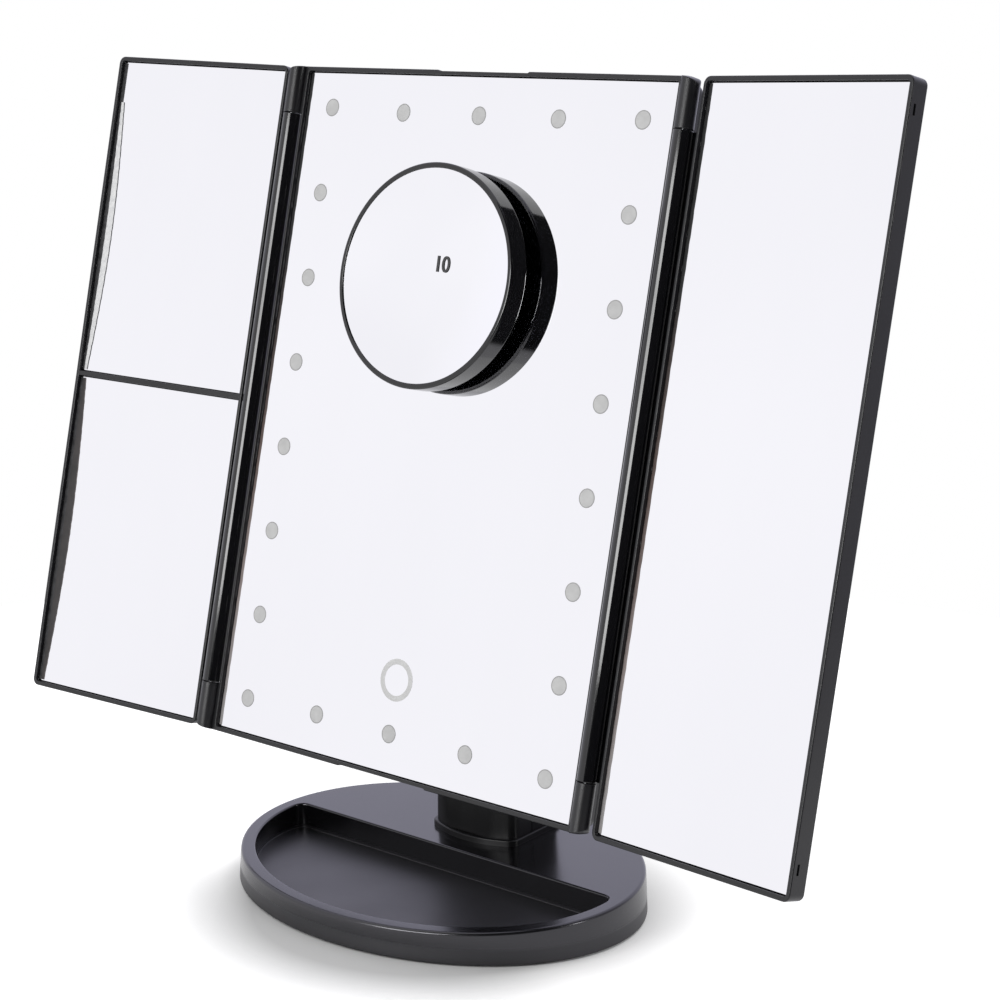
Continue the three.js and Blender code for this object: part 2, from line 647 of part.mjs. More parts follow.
// One hinge knuckle with the web that ties it to the frame's side.
function knuckle(side, end) {
  const tip = FRAME_HEIGHT / 2;
  const span = between(end * (BARREL_HALF + SEAT_GAP), end * tip);
  const web = between(side * (FRAME_WIDTH / 2 - 0.5), side * HINGE_U);
  const barrel = barY(HINGE_RADIUS, side * HINGE_U, span, HINGE_W);
  const whole = barrel.add(block(web, span, [HINGE_W - HINGE_RADIUS, FRAME_PROUD]));
  const across = 2 * (HINGE_U + HINGE_RADIUS);
  const outline = centredRect(across, FRAME_HEIGHT, KNUCKLE_CORNER);
  return whole.intersect(slab(outline, [-FRAME_DEPTH, HINGE_W + 2 * HINGE_RADIUS], 8));
}

function pinHole(side, end, radius) {
  const span = between(end * (BARREL_HALF - PIN_IN_BARREL), end * (FRAME_HEIGHT / 2 - PIN_END_WALL));
  return barY(radius, side * HINGE_U, span, HINGE_W, 12);
}

const hingeEnds = [
  [-1, 1, "left_top"],
  [-1, -1, "left_bottom"],
  [1, 1, "right_top"],
  [1, -1, "right_bottom"],
];

const headScrewSpots = [-1, 1].flatMap((side) => (
  [-1, 0, 1].map((row) => [side * HEAD_SCREW_U, row * HEAD_SCREW_V])
));

function headFrame() {
  const body = slab(centredRect(FRAME_WIDTH, FRAME_HEIGHT, FRAME_CORNER), [-FRAME_DEPTH, FRAME_PROUD]);
  const pocketWidth = GLASS_WIDTH + 2 * SEAT_GAP;
  const pocketHeight = GLASS_HEIGHT + 2 * SEAT_GAP;
  const floor = -GLASS_THICKNESS - SEAT_GAP;
  const pocket = slab(centredRect(pocketWidth, pocketHeight, GLASS_CORNER), [floor, FRAME_PROUD + CUT], 4);
  const opening = slab(
    centredRect(pocketWidth - 2 * FRAME_LEDGE, pocketHeight - 2 * FRAME_LEDGE, GLASS_CORNER),
    [-FRAME_DEPTH - CUT, FRAME_PROUD],
    4,
  );
  const notchEnd = FRAME_HEIGHT / 2 - PRY_NOTCH_DEPTH;
  const half = PRY_NOTCH_WIDTH / 2;
  const deep = [-FRAME_DEPTH - CUT, FRAME_PROUD + CUT];
  const notches = [block([-half, half], [notchEnd, notchEnd + CUT], deep)];
  notches.push(block([-half, half], [-notchEnd - CUT, -notchEnd], deep));
  const screws = headScrewSpots.map(([u, v]) => (
    barZ(HEAD_SCREW_RADIUS + SEAT_GAP, u, v, [-FRAME_DEPTH - CUT, floor - CUT / 2], 12)
  ));
  const knuckles = hingeEnds.map(([side, end]) => knuckle(side, end));
  const pins = hingeEnds.map(([side, end]) => pinHole(side, end, PIN_RADIUS + SEAT_GAP));
  return cutBy(joined(cutBy(body, pocket, opening, ...notches), ...knuckles), ...screws, ...pins);
}

// One ear of the tilt hinge, from the housing's back out round the bolt.
function tiltEar(side) {
  const v = -PIVOT_BELOW_CENTRE;
  const w = -PIVOT_BEHIND_GLASS;
  const shape = new THREE.Shape();
  shape.moveTo(v - EAR_ROOT_WIDTH / 2, COVER_WALL / 2 - HEAD_DEPTH);
  shape.lineTo(v - BARREL_RADIUS, w);
  shape.absarc(v, w, BARREL_RADIUS, Math.PI, 2 * Math.PI, false);
  shape.lineTo(v + EAR_ROOT_WIDTH / 2, COVER_WALL / 2 - HEAD_DEPTH);
  return alongX(shape, between(side * EAR_U, side * (EAR_U + EAR_THICKNESS)));
}

// Rails that carry the lamp strips and posts that carry the board.
function coverSupports() {
  const back = COVER_WALL / 2 - HEAD_DEPTH;
  const top = STRIP_BACK_W - SEAT_GAP;
  const railHalf = 0.8;
  const rails = [-1, 1].flatMap((side) => {
    const u = side * LAMP_COLUMN_U;
    const v = side * LAMP_ROW_V;
    const rowEnd = LAMP_COLUMN_U - STRIP_WIDTH;
    return [
      block([u - railHalf, u + railHalf], [-LAMP_ROW_V, LAMP_ROW_V], [back, top]),
      block([-rowEnd, rowEnd], [v - railHalf, v + railHalf], [back, top]),
    ];
  });
  const inset = BOARD_POST_INSET;
  const posts = around(BOARD_U, BOARD_WIDTH / 2 - inset).flatMap((u) => (
    around(BOARD_V, BOARD_HEIGHT / 2 - inset).map((v) => barZ(BOARD_POST_RADIUS, u, v, [back, top], 12))
  ));
  return [...rails, ...posts];
}

function headCover() {
  const front = -FRAME_DEPTH - SEAT_GAP;
  const width = FRAME_WIDTH - 2 * COVER_INSET;
  const height = FRAME_HEIGHT - 2 * COVER_INSET;
  const shell = easedSlab(centredRect(width, height, COVER_CORNER), [-HEAD_DEPTH, front], COVER_BEVEL);
  const room = slab(
    centredRect(width - 2 * COVER_WALL, height - 2 * COVER_WALL, COVER_CORNER),
    [COVER_WALL - HEAD_DEPTH, front + CUT],
    3,
  );
  const boxV = [BOX_CENTRE_V - BOX_HALF_V, BOX_CENTRE_V + BOX_HALF_V];
  const boxShape = roundedRect([-BOX_HALF_U, BOX_HALF_U], boxV, COVER_CORNER);
  const box = easedSlab(boxShape, [BOX_BACK_W, COVER_WALL / 2 - HEAD_DEPTH], BOX_BEVEL, 3);
  const holderU = HOLDER_HALF_U + SEAT_GAP;
  const holderV = [BOX_CENTRE_V - HOLDER_HALF_V - SEAT_GAP, BOX_CENTRE_V + HOLDER_HALF_V + SEAT_GAP];
  const boxRoom = block([-holderU, holderU], holderV, [DOOR_INNER_W, front + CUT]);
  const doorU = HOLDER_HALF_U - DOOR_MARGIN + SEAT_GAP;
  const doorHalfV = HOLDER_HALF_V - DOOR_MARGIN + SEAT_GAP;
  const doorV = [BOX_CENTRE_V - doorHalfV, BOX_CENTRE_V + doorHalfV];
  const doorway = block([-doorU, doorU], doorV, [BOX_BACK_W - CUT, front]);
  const bosses = headScrewSpots.map(([u, v]) => (
    barZ(HEAD_BOSS_RADIUS, u, v, [COVER_WALL / 2 - HEAD_DEPTH, front], 16)
  ));
  const headRadius = HEAD_SCREW_RADIUS * SCREW_HEAD_RATIO + SEAT_GAP;
  const screws = headScrewSpots.map(([u, v]) => (
    barZ(HEAD_SCREW_RADIUS + SEAT_GAP, u, v, [-HEAD_DEPTH - CUT, front + CUT], 12).add(
      barZ(headRadius, u, v, [-HEAD_DEPTH - CUT, headScrewSeatW + SEAT_GAP], 16),
    )
  ));
  const through = [-HEAD_DEPTH - CUT, front];
  const usbU = around(USB_U, USB_WIDTH / 2 + SEAT_GAP);
  const usbHole = block(usbU, around(USB_V, USB_HEIGHT / 2 + SEAT_GAP), through);
  const bolt = barX(
    TILT_BOLT_RADIUS + SEAT_GAP,
    [-NECK_WIDTH, NECK_WIDTH],
    -PIVOT_BELOW_CENTRE,
    -PIVOT_BEHIND_GLASS,
    24,
  );
  const whole = joined(shell.subtract(room), box, ...bosses, ...coverSupports(), tiltEar(-1), tiltEar(1));
  return cutBy(whole, boxRoom, doorway, bolt, knobSlot(through), usbHole, ...screws);
}

const headScrewSeatW = -HEAD_DEPTH + SCREW_HEAD_THICKNESS + COVER_WALL / 2;

function tiltBolt() {
  const v = -PIVOT_BELOW_CENTRE;
  const w = -PIVOT_BEHIND_GLASS;
  const ear = EAR_U + EAR_THICKNESS + SEAT_GAP;
  const shank = barX(TILT_BOLT_RADIUS, [-ear - TILT_NUT, ear + TILT_BOLT_HEAD / 2], v, w, 24);
  return shank.add(barX(TILT_BOLT_HEAD_RADIUS, [ear, ear + TILT_BOLT_HEAD], v, w));
}

function tiltNut() {
  const v = -PIVOT_BELOW_CENTRE;
  const w = -PIVOT_BEHIND_GLASS;
  const ear = EAR_U + EAR_THICKNESS + SEAT_GAP;
  const nut = barX(TILT_BOLT_HEAD_RADIUS, [-ear - TILT_NUT, -ear], v, w, 6);
  return nut.subtract(barX(TILT_BOLT_RADIUS + SEAT_GAP, [-2 * ear, 0], v, w, 24));
}

function lightDiffuser() {
  const width = GLASS_WIDTH - 2 * FRAME_LEDGE;
  const height = GLASS_HEIGHT - 2 * FRAME_LEDGE;
  const span = [DIFFUSER_W - DIFFUSER_THICKNESS, DIFFUSER_W];
  const inner = centredRect(width - 2 * DIFFUSER_BAND, height - 2 * DIFFUSER_BAND, GLASS_CORNER);
  const opening = slab(inner, [-FRAME_DEPTH, 0], 3);
  return slab(centredRect(width, height, GLASS_CORNER), span, 3).subtract(opening);
}

// A lamp strip over a stretch of the panel, with a lamp at each of the given places.
function ledStrip(u, v, places) {
  const strip = block(u, v, [STRIP_BACK_W, STRIP_FRONT_W]);
  const half = LAMP_SIZE / 2;
  const chips = places.map(([x, y]) => (
    block([x - half, x + half], [y - half, y + half], [STRIP_FRONT_W - 0.2, STRIP_FRONT_W + LAMP_THICKNESS])
  ));
  return joined(strip, ...chips);
}

function ledStrips() {
  const half = STRIP_WIDTH / 2;
  const rowEnd = LAMP_COLUMN_U - half - SEAT_GAP;
  const rows = [[1, "top"], [-1, "bottom"]].map(([sign, word]) => {
    const v = sign * (LAMP_ROW_V - LAMP_ROW_INSET);
    const strip = ledStrip([-rowEnd, rowEnd], [v - half, v + half], lampRow(sign));
    return piece(`led_strip_${word}`, strip, STRIP_WHITE);
  });
  const columns = [[-1, "left"], [1, "right"]].map(([sign, word]) => {
    const u = sign * LAMP_COLUMN_U;
    const ends = [-LAMP_ROW_V - half, LAMP_ROW_V + half];
    const strip = ledStrip([u - half, u + half], ends, lampColumn(sign));
    return piece(`led_strip_${word}`, strip, STRIP_WHITE);
  });
  return [...rows, ...columns];
}

function touchPad() {
  const disc = barZ(TOUCH_PAD_RADIUS, 0, RING_V, [DIFFUSER_W - 0.8, DIFFUSER_W], 24);
  return disc.add(barZ(TOUCH_PAD_RADIUS / 3, 0, RING_V, [STRIP_FRONT_W + SEAT_GAP, DIFFUSER_W - 0.5], 16));
}

// The way of the switch's knob, cut through the housing and into the switch.
function knobSlot(w) {
  const half = KNOB_WIDTH / 2 + SEAT_GAP;
  const v = around(SWITCH_V, KNOB_HEIGHT / 2 + SEAT_GAP);
  return block([SWITCH_U - half, SWITCH_U + half + KNOB_TRAVEL], v, w);
}

function powerSwitch() {
  const centre = SWITCH_U + KNOB_TRAVEL / 2;
  const span = [COVER_WALL + SEAT_GAP - HEAD_DEPTH, STRIP_BACK_W - SEAT_GAP];
  const body = block(around(centre, SWITCH_WIDTH / 2), around(SWITCH_V, SWITCH_HEIGHT / 2), span);
  return body.subtract(knobSlot([span[0] - CUT, span[0] + COVER_WALL / 2 + SEAT_GAP]));
}

function powerKnob() {
  const span = [-HEAD_DEPTH - KNOB_PROUD, 1.5 * COVER_WALL - HEAD_DEPTH];
  const knob = block(around(SWITCH_U, KNOB_WIDTH / 2), around(SWITCH_V, KNOB_HEIGHT / 2), span);
  const grooves = [-1, 0, 1].map((i) => {
    const u = SWITCH_U + i * KNOB_WIDTH / 4;
    const deep = [span[0] - CUT, span[0] + KNOB_GROOVE_DEPTH];
    return block(around(u, KNOB_GROOVE / 2), around(SWITCH_V, KNOB_HEIGHT), deep);
  });
  return cutBy(knob, ...grooves);
}

function usbSocket() {
  const half = [USB_WIDTH / 2, USB_HEIGHT / 2];
  const inner = half.map((size) => size - USB_WALL);
  const span = [-HEAD_DEPTH + SEAT_GAP, STRIP_BACK_W - SEAT_GAP];
  const body = block(around(USB_U, half[0]), around(USB_V, half[1]), span);
  const deep = [span[0] - CUT, span[1] - USB_END_WALL];
  return body.subtract(block(around(USB_U, inner[0]), around(USB_V, inner[1]), deep));
}

function controlBoard() {
  const span = [STRIP_BACK_W, STRIP_FRONT_W];
  return block(around(BOARD_U, BOARD_WIDTH / 2), around(BOARD_V, BOARD_HEIGHT / 2), span);
}

// Places of the battery cells, one above another.
const cellRows = Array.from({ length: CELL_COUNT }, (_, i) => (
  BOX_CENTRE_V + (i - (CELL_COUNT - 1) / 2) * CELL_PITCH
));

function batteryCell(v, flip) {
  const nub = flip * (CELL_LENGTH / 2);
  const can = between(-flip * (CELL_LENGTH / 2), nub - flip * CELL_NUB);
  const tip = between(nub - 2 * flip * CELL_NUB, nub);
  return barX(CELL_RADIUS, can, v, CELL_W, 20).add(barX(CELL_NUB_RADIUS, tip, v, CELL_W, 12));
}

function batteryHolder() {
  const back = DOOR_INNER_W + SEAT_GAP;
  const outer = block(around(0, HOLDER_HALF_U), around(BOX_CENTRE_V, HOLDER_HALF_V), [back, HOLDER_FRONT_W]);
  const innerU = around(0, HOLDER_HALF_U - HOLDER_END_WALL);
  const innerV = around(BOX_CENTRE_V, HOLDER_HALF_V - HOLDER_WALL);
  return outer.subtract(block(innerU, innerV, [back - CUT, HOLDER_FLOOR_W]));
}

function batteryContacts(side) {
  const wall = HOLDER_HALF_U - HOLDER_END_WALL - SEAT_GAP;
  const plate = between(side * (wall - CONTACT_PLATE), side * wall);
  const reach = HOLDER_HALF_V - HOLDER_WALL - SEAT_GAP;
  const back = DOOR_INNER_W + 2 * SEAT_GAP;
  const strip = block(plate, around(BOX_CENTRE_V, reach), [back, HOLDER_FLOOR_W - SEAT_GAP]);
  const cellEnd = CELL_LENGTH / 2 + SEAT_GAP;
  const spring = between(side * cellEnd, side * (wall - CONTACT_PLATE / 2));
  return joined(strip, ...cellRows.map((v) => barX(CONTACT_SPRING_RADIUS, spring, v, CELL_W, 12)));
}

function batteryDoor() {
  const u = HOLDER_HALF_U - DOOR_MARGIN;
  const half = HOLDER_HALF_V - DOOR_MARGIN;
  const v = [BOX_CENTRE_V - half, BOX_CENTRE_V + half];
  const plate = block([-u, u], v, [BOX_BACK_W, DOOR_INNER_W]);
  const grips = Array.from({ length: DOOR_GRIP_COUNT }, (_, i) => {
    const at = v[1] - 4 - i * DOOR_GRIP_PITCH;
    const across = [-DOOR_GRIP_WIDTH / 2, DOOR_GRIP_WIDTH / 2];
    return block(across, [at - 0.5, at + 0.5], [BOX_BACK_W - CUT, BOX_BACK_W + DOOR_GRIP_DEPTH]);
  });
  return cutBy(plate, ...grips);
}

// The head screws point out of the back, so they are turned over.
function headScrew(u, v) {
  const seat = headScrewSeatW;
  const head = barZ(HEAD_SCREW_RADIUS * SCREW_HEAD_RATIO, u, v, [seat - SCREW_HEAD_THICKNESS, seat], 16);
  const shank = [seat - SCREW_HEAD_THICKNESS / 2, -HEAD_DEPTH + HEAD_SCREW_LENGTH];
  return head.add(barZ(HEAD_SCREW_RADIUS, u, v, shank, 12)).subtract(
    barZ(HEAD_SCREW_RADIUS / 2, u, v, [-HEAD_DEPTH - CUT, seat - SCREW_HEAD_THICKNESS / 2], 6),
  );
}

// Hinge barrel along the wing with the sunk web that ties it to the wing's frame.
function wingBarrel(side) {
  const span = [-BARREL_HALF, BARREL_HALF];
  const barrel = barY(HINGE_RADIUS, 0, span, 0);
  const web = between(0, side * (WING_START + 0.5));
  const holes = [1, -1].map((end) => {
    const ends = between(end * (BARREL_HALF - PIN_IN_BARREL - SEAT_GAP), end * (BARREL_HALF + CUT));
    return barY(PIN_RADIUS + SEAT_GAP, 0, ends, 0, 12);
  });
  const plate = block(web, span, [WING_BACK_W + WEB_DROP / 4, WING_FRONT_W - WEB_DROP]);
  return cutBy(barrel.add(plate), ...holes);
}

// Stretches of a wing measured from its hinge axis, on either side.
const wingSpan = (side, from, to) => between(side * from, side * to);

// Heights of the wing's glass: one sheet, or two with the split bar between them.
function wingGlassRows(split) {
  const end = GLASS_HEIGHT / 2;
  if (!split) {
    return [[-end, end]];
  }
  const half = SPLIT_BAR / 2 + SEAT_GAP;
  return [[SPLIT_V + half, end], [-end, SPLIT_V - half]];
}

const wingGlassStart = WING_START + WING_INNER_LIP + SEAT_GAP;
const wingGlassEnd = WING_REACH - WING_OUTER_LIP - SEAT_GAP;
const wingGlassW = -HINGE_W;

function wingFrame(side, split) {
  const half = FRAME_HEIGHT / 2;
  const body = slab(
    roundedRect(wingSpan(side, WING_START, WING_REACH), [-half, half], WING_CORNER),
    [WING_BACK_W, WING_FRONT_W],
    4,
  );
  const u = wingSpan(side, wingGlassStart - SEAT_GAP, wingGlassEnd + SEAT_GAP);
  const floor = wingGlassW - WING_GLASS_THICKNESS - SEAT_GAP;
  const ledge = floor - WING_LEDGE_THICKNESS;
  const pockets = wingGlassRows(split).map(([low, high]) => (
    slab(roundedRect(u, [low - SEAT_GAP, high + SEAT_GAP], GLASS_CORNER), [floor, CUT], 3)
  ));
  const inner = WING_LEDGE;
  const openings = wingGlassRows(split).map(([low, high]) => (
    block([u[0] + inner, u[1] - inner], [low + inner, high - inner], [WING_BACK_W - CUT, 0])
  ));
  const margin = WING_BACK_MARGIN;
  const backU = wingSpan(side, WING_START + margin, WING_REACH - margin);
  const backShape = roundedRect(backU, [margin - half, half - margin], GLASS_CORNER);
  const recess = slab(backShape, [WING_BACK_W - CUT, ledge], 3);
  const slotFront = WING_FRONT_W - SNAP_SLOT_BEHIND_FRONT;
  const slots = [-1, 1].map((end) => block(
    wingSpan(side, WING_REACH - SNAP_SLOT_DEPTH, WING_REACH + CUT),
    around(end * SNAP_SLOT_V, SNAP_SLOT_LENGTH / 2),
    [slotFront - SNAP_SLOT_HEIGHT, slotFront],
  ));
  return cutBy(body, ...pockets, ...openings, recess, ...slots).add(wingBarrel(side));
}

function wingBack(side) {
  const half = FRAME_HEIGHT / 2 - WING_BACK_MARGIN - SEAT_GAP;
  const from = WING_START + WING_BACK_MARGIN + SEAT_GAP;
  const to = WING_REACH - WING_BACK_MARGIN - SEAT_GAP;
  const shape = roundedRect(wingSpan(side, from, to), [-half, half], GLASS_CORNER);
  return slab(shape, [WING_BACK_W, WING_BACK_W + WING_BACK_THICKNESS], 3);
}

function wingGlass(side, row) {
  const shape = roundedRect(wingSpan(side, wingGlassStart, wingGlassEnd), row, GLASS_CORNER);
  return slab(shape, [wingGlassW - WING_GLASS_THICKNESS, wingGlassW], 3);
}

// A wing about its own hinge axis, opened towards the user by its rest angle.
function wing(word, side, open, split) {
  const group = new THREE.Group();
  group.add(piece(`${word}_wing_frame`, wingFrame(side, split), MATT_BLACK));
  group.add(piece(`${word}_wing_back`, wingBack(side), MATT_BLACK));
  const names = split ? [`${word}_upper_glass`, `${word}_lower_glass`] : [`${word}_glass`];
  wingGlassRows(split).forEach((row, i) => group.add(piece(names[i], wingGlass(side, row), MIRROR)));
  group.position.set(side * HINGE_U, 0, HINGE_W);
  group.rotation.y = -side * open;
  return group;
}

// Suction cup, its stem through the shell's back and the stem's head inside.
const cupSpots = Array.from({ length: SPOT_CUP_COUNT }, (_, i) => {
  const angle = Math.PI / 2 + i * 2 * Math.PI / SPOT_CUP_COUNT;
  return [SPOT_U + SPOT_CUP_CIRCLE * Math.cos(angle), SPOT_V + SPOT_CUP_CIRCLE * Math.sin(angle)];
});

function spotCup(u, v) {
  const back = SPOT_STANDOFF + SPOT_BACK_WALL + SEAT_GAP;
  return turned([
    [0, SEAT_GAP],
    [SPOT_CUP_RADIUS, SEAT_GAP],
    [SPOT_CUP_RADIUS, SEAT_GAP + SPOT_CUP_EDGE],
    [SPOT_STEM_RADIUS, SPOT_STANDOFF - SEAT_GAP],
    [SPOT_STEM_RADIUS, back],
    [SPOT_STEM_HEAD, back],
    [SPOT_STEM_HEAD, back + SPOT_STEM_HEAD_HEIGHT],
    [0, back + SPOT_STEM_HEAD_HEIGHT],
  ], u, v, 0, 20);
}

function spotShell() {
  const front = SPOT_STANDOFF + SPOT_HEIGHT;
  const seat = front - SPOT_GLASS_DROP - SPOT_GLASS_THICKNESS - 2 * SEAT_GAP;
  const body = barZ(SPOT_RADIUS, SPOT_U, SPOT_V, [SPOT_STANDOFF, front], 64);
  const room = barZ(SPOT_RADIUS - SPOT_RIM, SPOT_U, SPOT_V, [seat, front + CUT], 64);
  const inner = SPOT_RADIUS - SPOT_RIM - SPOT_SEAT;
  const hollow = barZ(inner, SPOT_U, SPOT_V, [SPOT_STANDOFF + SPOT_BACK_WALL, front], 48);
  const holes = cupSpots.map(([u, v]) => barZ(SPOT_STEM_RADIUS + SEAT_GAP, u, v, [0, front], 16));
  return cutBy(body, room, hollow, ...holes);
}

// Concave glass: its face dips by the sag towards the middle.
function spotGlass() {
  const radius = SPOT_RADIUS - SPOT_RIM - SEAT_GAP;
  const rim = SPOT_STANDOFF + SPOT_HEIGHT - SPOT_GLASS_DROP;
  const rings = 5;
  const steps = Array.from({ length: rings + 1 }, (_, i) => radius * i / rings);
  const dip = (r) => SPOT_GLASS_SAG * (1 - (r / radius) ** 2);
  const face = steps.map((r) => [r, rim - dip(r)]);
  const back = steps.map((r) => [r, rim - SPOT_GLASS_THICKNESS - dip(r)]);
  return turned([...back, ...face.reverse()], SPOT_U, SPOT_V, 0, 40);
}

function headGroup() {
  const group = new THREE.Group();
  group.add(piece("head_frame", headFrame(), MATT_BLACK));
  group.add(piece("head_cover", headCover(), MATT_BLACK));
  group.add(piece("centre_glass", centreGlass(), MIRROR));
  group.add(piece("light_diffuser", lightDiffuser(), FROSTED));
  group.add(...ledStrips());
  group.add(piece("control_board", controlBoard(), BOARD_GREEN));
  group.add(piece("touch_pad", touchPad(), STEEL));
  group.add(piece("usb_socket", usbSocket(), STEEL));
  group.add(piece("power_switch", powerSwitch(), HOLDER_BLACK));
  group.add(piece("power_knob", powerKnob(), GLOSS_BLACK));
  group.add(piece("battery_holder", batteryHolder(), HOLDER_BLACK));
  group.add(piece("battery_contacts_left", batteryContacts(-1), STEEL));
  group.add(piece("battery_contacts_right", batteryContacts(1), STEEL));
  cellRows.forEach((v, i) => {
    group.add(piece(`battery_cell_${i + 1}`, batteryCell(v, i % 2 ? -1 : 1), CELL_GREY));
  });
  group.add(piece("battery_door", batteryDoor(), MATT_BLACK));
  group.add(piece("tilt_bolt", tiltBolt(), STEEL));
  group.add(piece("tilt_nut", tiltNut(), STEEL));
  headScrewSpots.forEach(([u, v], i) => group.add(piece(`head_screw_${i + 1}`, headScrew(u, v), STEEL)));
  hingeEnds.forEach(([side, end, word]) => {
    group.add(piece(`hinge_pin_${word}`, pinHole(side, end, PIN_RADIUS), STEEL));
  });
  group.add(wing("left", -1, LEFT_OPEN, true));
  group.add(wing("right", 1, RIGHT_OPEN, false));
  group.add(piece("spot_shell", spotShell(), GLOSS_BLACK));
  group.add(piece("spot_glass", spotGlass(), MIRROR));
  cupSpots.forEach(([u, v], i) => group.add(piece(`spot_cup_${i + 1}`, spotCup(u, v), CLEAR_SOFT)));
  return group;
}

// Leans the head back about the tilt bolt: across stays X, up leans to +Y, out faces -Y and up.
function leanHead(group) {
  const sin = Math.sin(HEAD_TILT);
  const cos = Math.cos(HEAD_TILT);
  const centreY = PIVOT_Y + PIVOT_BELOW_CENTRE * sin - PIVOT_BEHIND_GLASS * cos;
  const centreZ = PIVOT_Z + PIVOT_BELOW_CENTRE * cos + PIVOT_BEHIND_GLASS * sin;
  group.rotation.x = Math.PI / 2 - HEAD_TILT;
  group.position.set(0, centreY, centreZ);
  return group;
}

const mirror = new THREE.Group();
mirror.add(baseGroup());
mirror.add(leanHead(headGroup()));

export default mirror;
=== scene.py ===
import functools
import json
import math

import bmesh
import bpy
from mathutils import Matrix, Vector


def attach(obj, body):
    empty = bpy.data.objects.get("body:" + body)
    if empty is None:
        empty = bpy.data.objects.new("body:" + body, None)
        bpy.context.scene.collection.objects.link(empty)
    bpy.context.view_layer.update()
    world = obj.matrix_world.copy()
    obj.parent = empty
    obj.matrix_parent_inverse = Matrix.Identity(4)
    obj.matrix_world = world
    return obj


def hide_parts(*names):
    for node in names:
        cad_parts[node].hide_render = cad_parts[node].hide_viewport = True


bl_info = {
    "name": "Lighted Makeup Mirror",
    "version": (1, 0, 0),
    "blender": (4, 5, 0),
    "location": "View3D > Sidebar > Makeup Mirror",
    "description": "Dresses the packed makeup mirror with detailed pieces, finishes and a plain studio",
    "category": "Object",
}

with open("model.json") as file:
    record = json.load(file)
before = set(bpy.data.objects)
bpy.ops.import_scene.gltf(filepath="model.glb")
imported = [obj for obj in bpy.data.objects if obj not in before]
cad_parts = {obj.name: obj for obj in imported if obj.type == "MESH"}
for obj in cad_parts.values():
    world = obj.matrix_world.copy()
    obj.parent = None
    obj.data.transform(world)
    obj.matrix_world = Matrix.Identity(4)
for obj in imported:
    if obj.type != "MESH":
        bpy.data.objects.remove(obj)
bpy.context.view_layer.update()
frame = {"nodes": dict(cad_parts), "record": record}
MM = 0.001
PLAY = 0.3 * MM  # room round a mirror in its frame
BAND_SHORT = 0.4 * MM  # the bands at a mirror's left edge stop this far from its ends
WELD = 1e-7  # points of a piece that are nearer to each other than this become one
AIM_HEIGHT = 0.16  # the lamps and panels face the mirror's middle at this height


def size(label, about, millimetres):
    """A length property whose default is given in millimetres."""
    return bpy.props.FloatProperty(
        name=label,
        description=about,
        default=millimetres * MM,
        precision=5,
        subtype="DISTANCE",
        unit="LENGTH",
    )


def turn(label, about, degrees):
    """An angle property whose default is given in degrees."""
    return bpy.props.FloatProperty(
        name=label,
        description=about,
        default=math.radians(degrees),
        subtype="ANGLE",
        unit="ROTATION",
    )


def tone(label, about, rgb):
    """A colour property."""
    return bpy.props.FloatVectorProperty(
        name=label,
        description=about,
        default=rgb,
        min=0.0,
        max=1.0,
        subtype="COLOR",
    )


def share(label, about, value):
    """A number from 0 to 1."""
    return bpy.props.FloatProperty(
        name=label,
        description=about,
        default=value,
        min=0.0,
        max=1.0,
        subtype="FACTOR",
    )


def factor(label, about, value, least):
    """A plain number with a lower limit."""
    return bpy.props.FloatProperty(name=label, description=about, default=value, min=least)


def count(label, about, value):
    """A whole number of like pieces."""
    return bpy.props.IntProperty(name=label, description=about, default=value, min=1)


class StandSizes(bpy.types.PropertyGroup):
    """Sizes of the oval base, its tray and the neck."""

    width: size("Base width", "Widest part of the oval base", 156)
    depth: size("Base depth", "Front to rear of the oval base", 120)
    front_height: size("Front height", "Height of the base's top at its front", 10.4)
    rear_height: size("Rear height", "Height of the base's top at its rear", 16.8)
    draft: size("Draft", "How far the side leans in towards the top", 0.6)
    skirt_rise: size("Skirt rise", "Gap between the side's lower edge and the table", 0.5)
    edge: size("Edge rounding", "Rounding of the base's top edge", 1.1)
    rim: size("Tray rim", "Width of the rim round the tray", 5.8)
    tray_rear: size("Tray rear", "Where the tray's straight rear wall stands", 4.5)
    tray_corner: size("Tray corner", "Rounding of the tray's two rear corners", 4)
    tray_floor: size("Tray floor", "Height of the tray's floor", 4.6)
    tray_edge: size("Tray edge", "Rounding of the tray's upper edge", 0.7)
    tray_fillet: size("Tray fillet", "Rounding between the tray's wall and floor", 0.25)
    neck_width: size("Neck width", "Width of the neck", 36.6)
    neck_front: size("Neck front", "Foremost line of the neck at its foot", 14)
    neck_side: size("Neck side", "Where the neck's bowed front meets its sides", 18.2)
    neck_rear: size("Neck rear", "Rear face of the neck at its foot", 43)
    neck_corner: size("Neck corner", "Rounding of the neck's upright corners", 3)
    neck_foot: size("Neck foot", "Height at which the neck starts, in its socket", 3.1)
    collar_width: size("Collar width", "How far the collar stands out", 1)
    collar_height: size("Collar height", "How far the collar stands up", 2.2)
    pivot_y: size("Pivot depth", "Tilt hinge, rearwards of the middle of the base", 28.2)
    pivot_z: size("Pivot height", "Tilt hinge above the table", 138)
    barrel: size("Tilt barrel", "Radius of the neck's head round the tilt hinge", 9.5)
    seam: size("Seam", "Gap between the front and rear shells of the neck", 0.3)


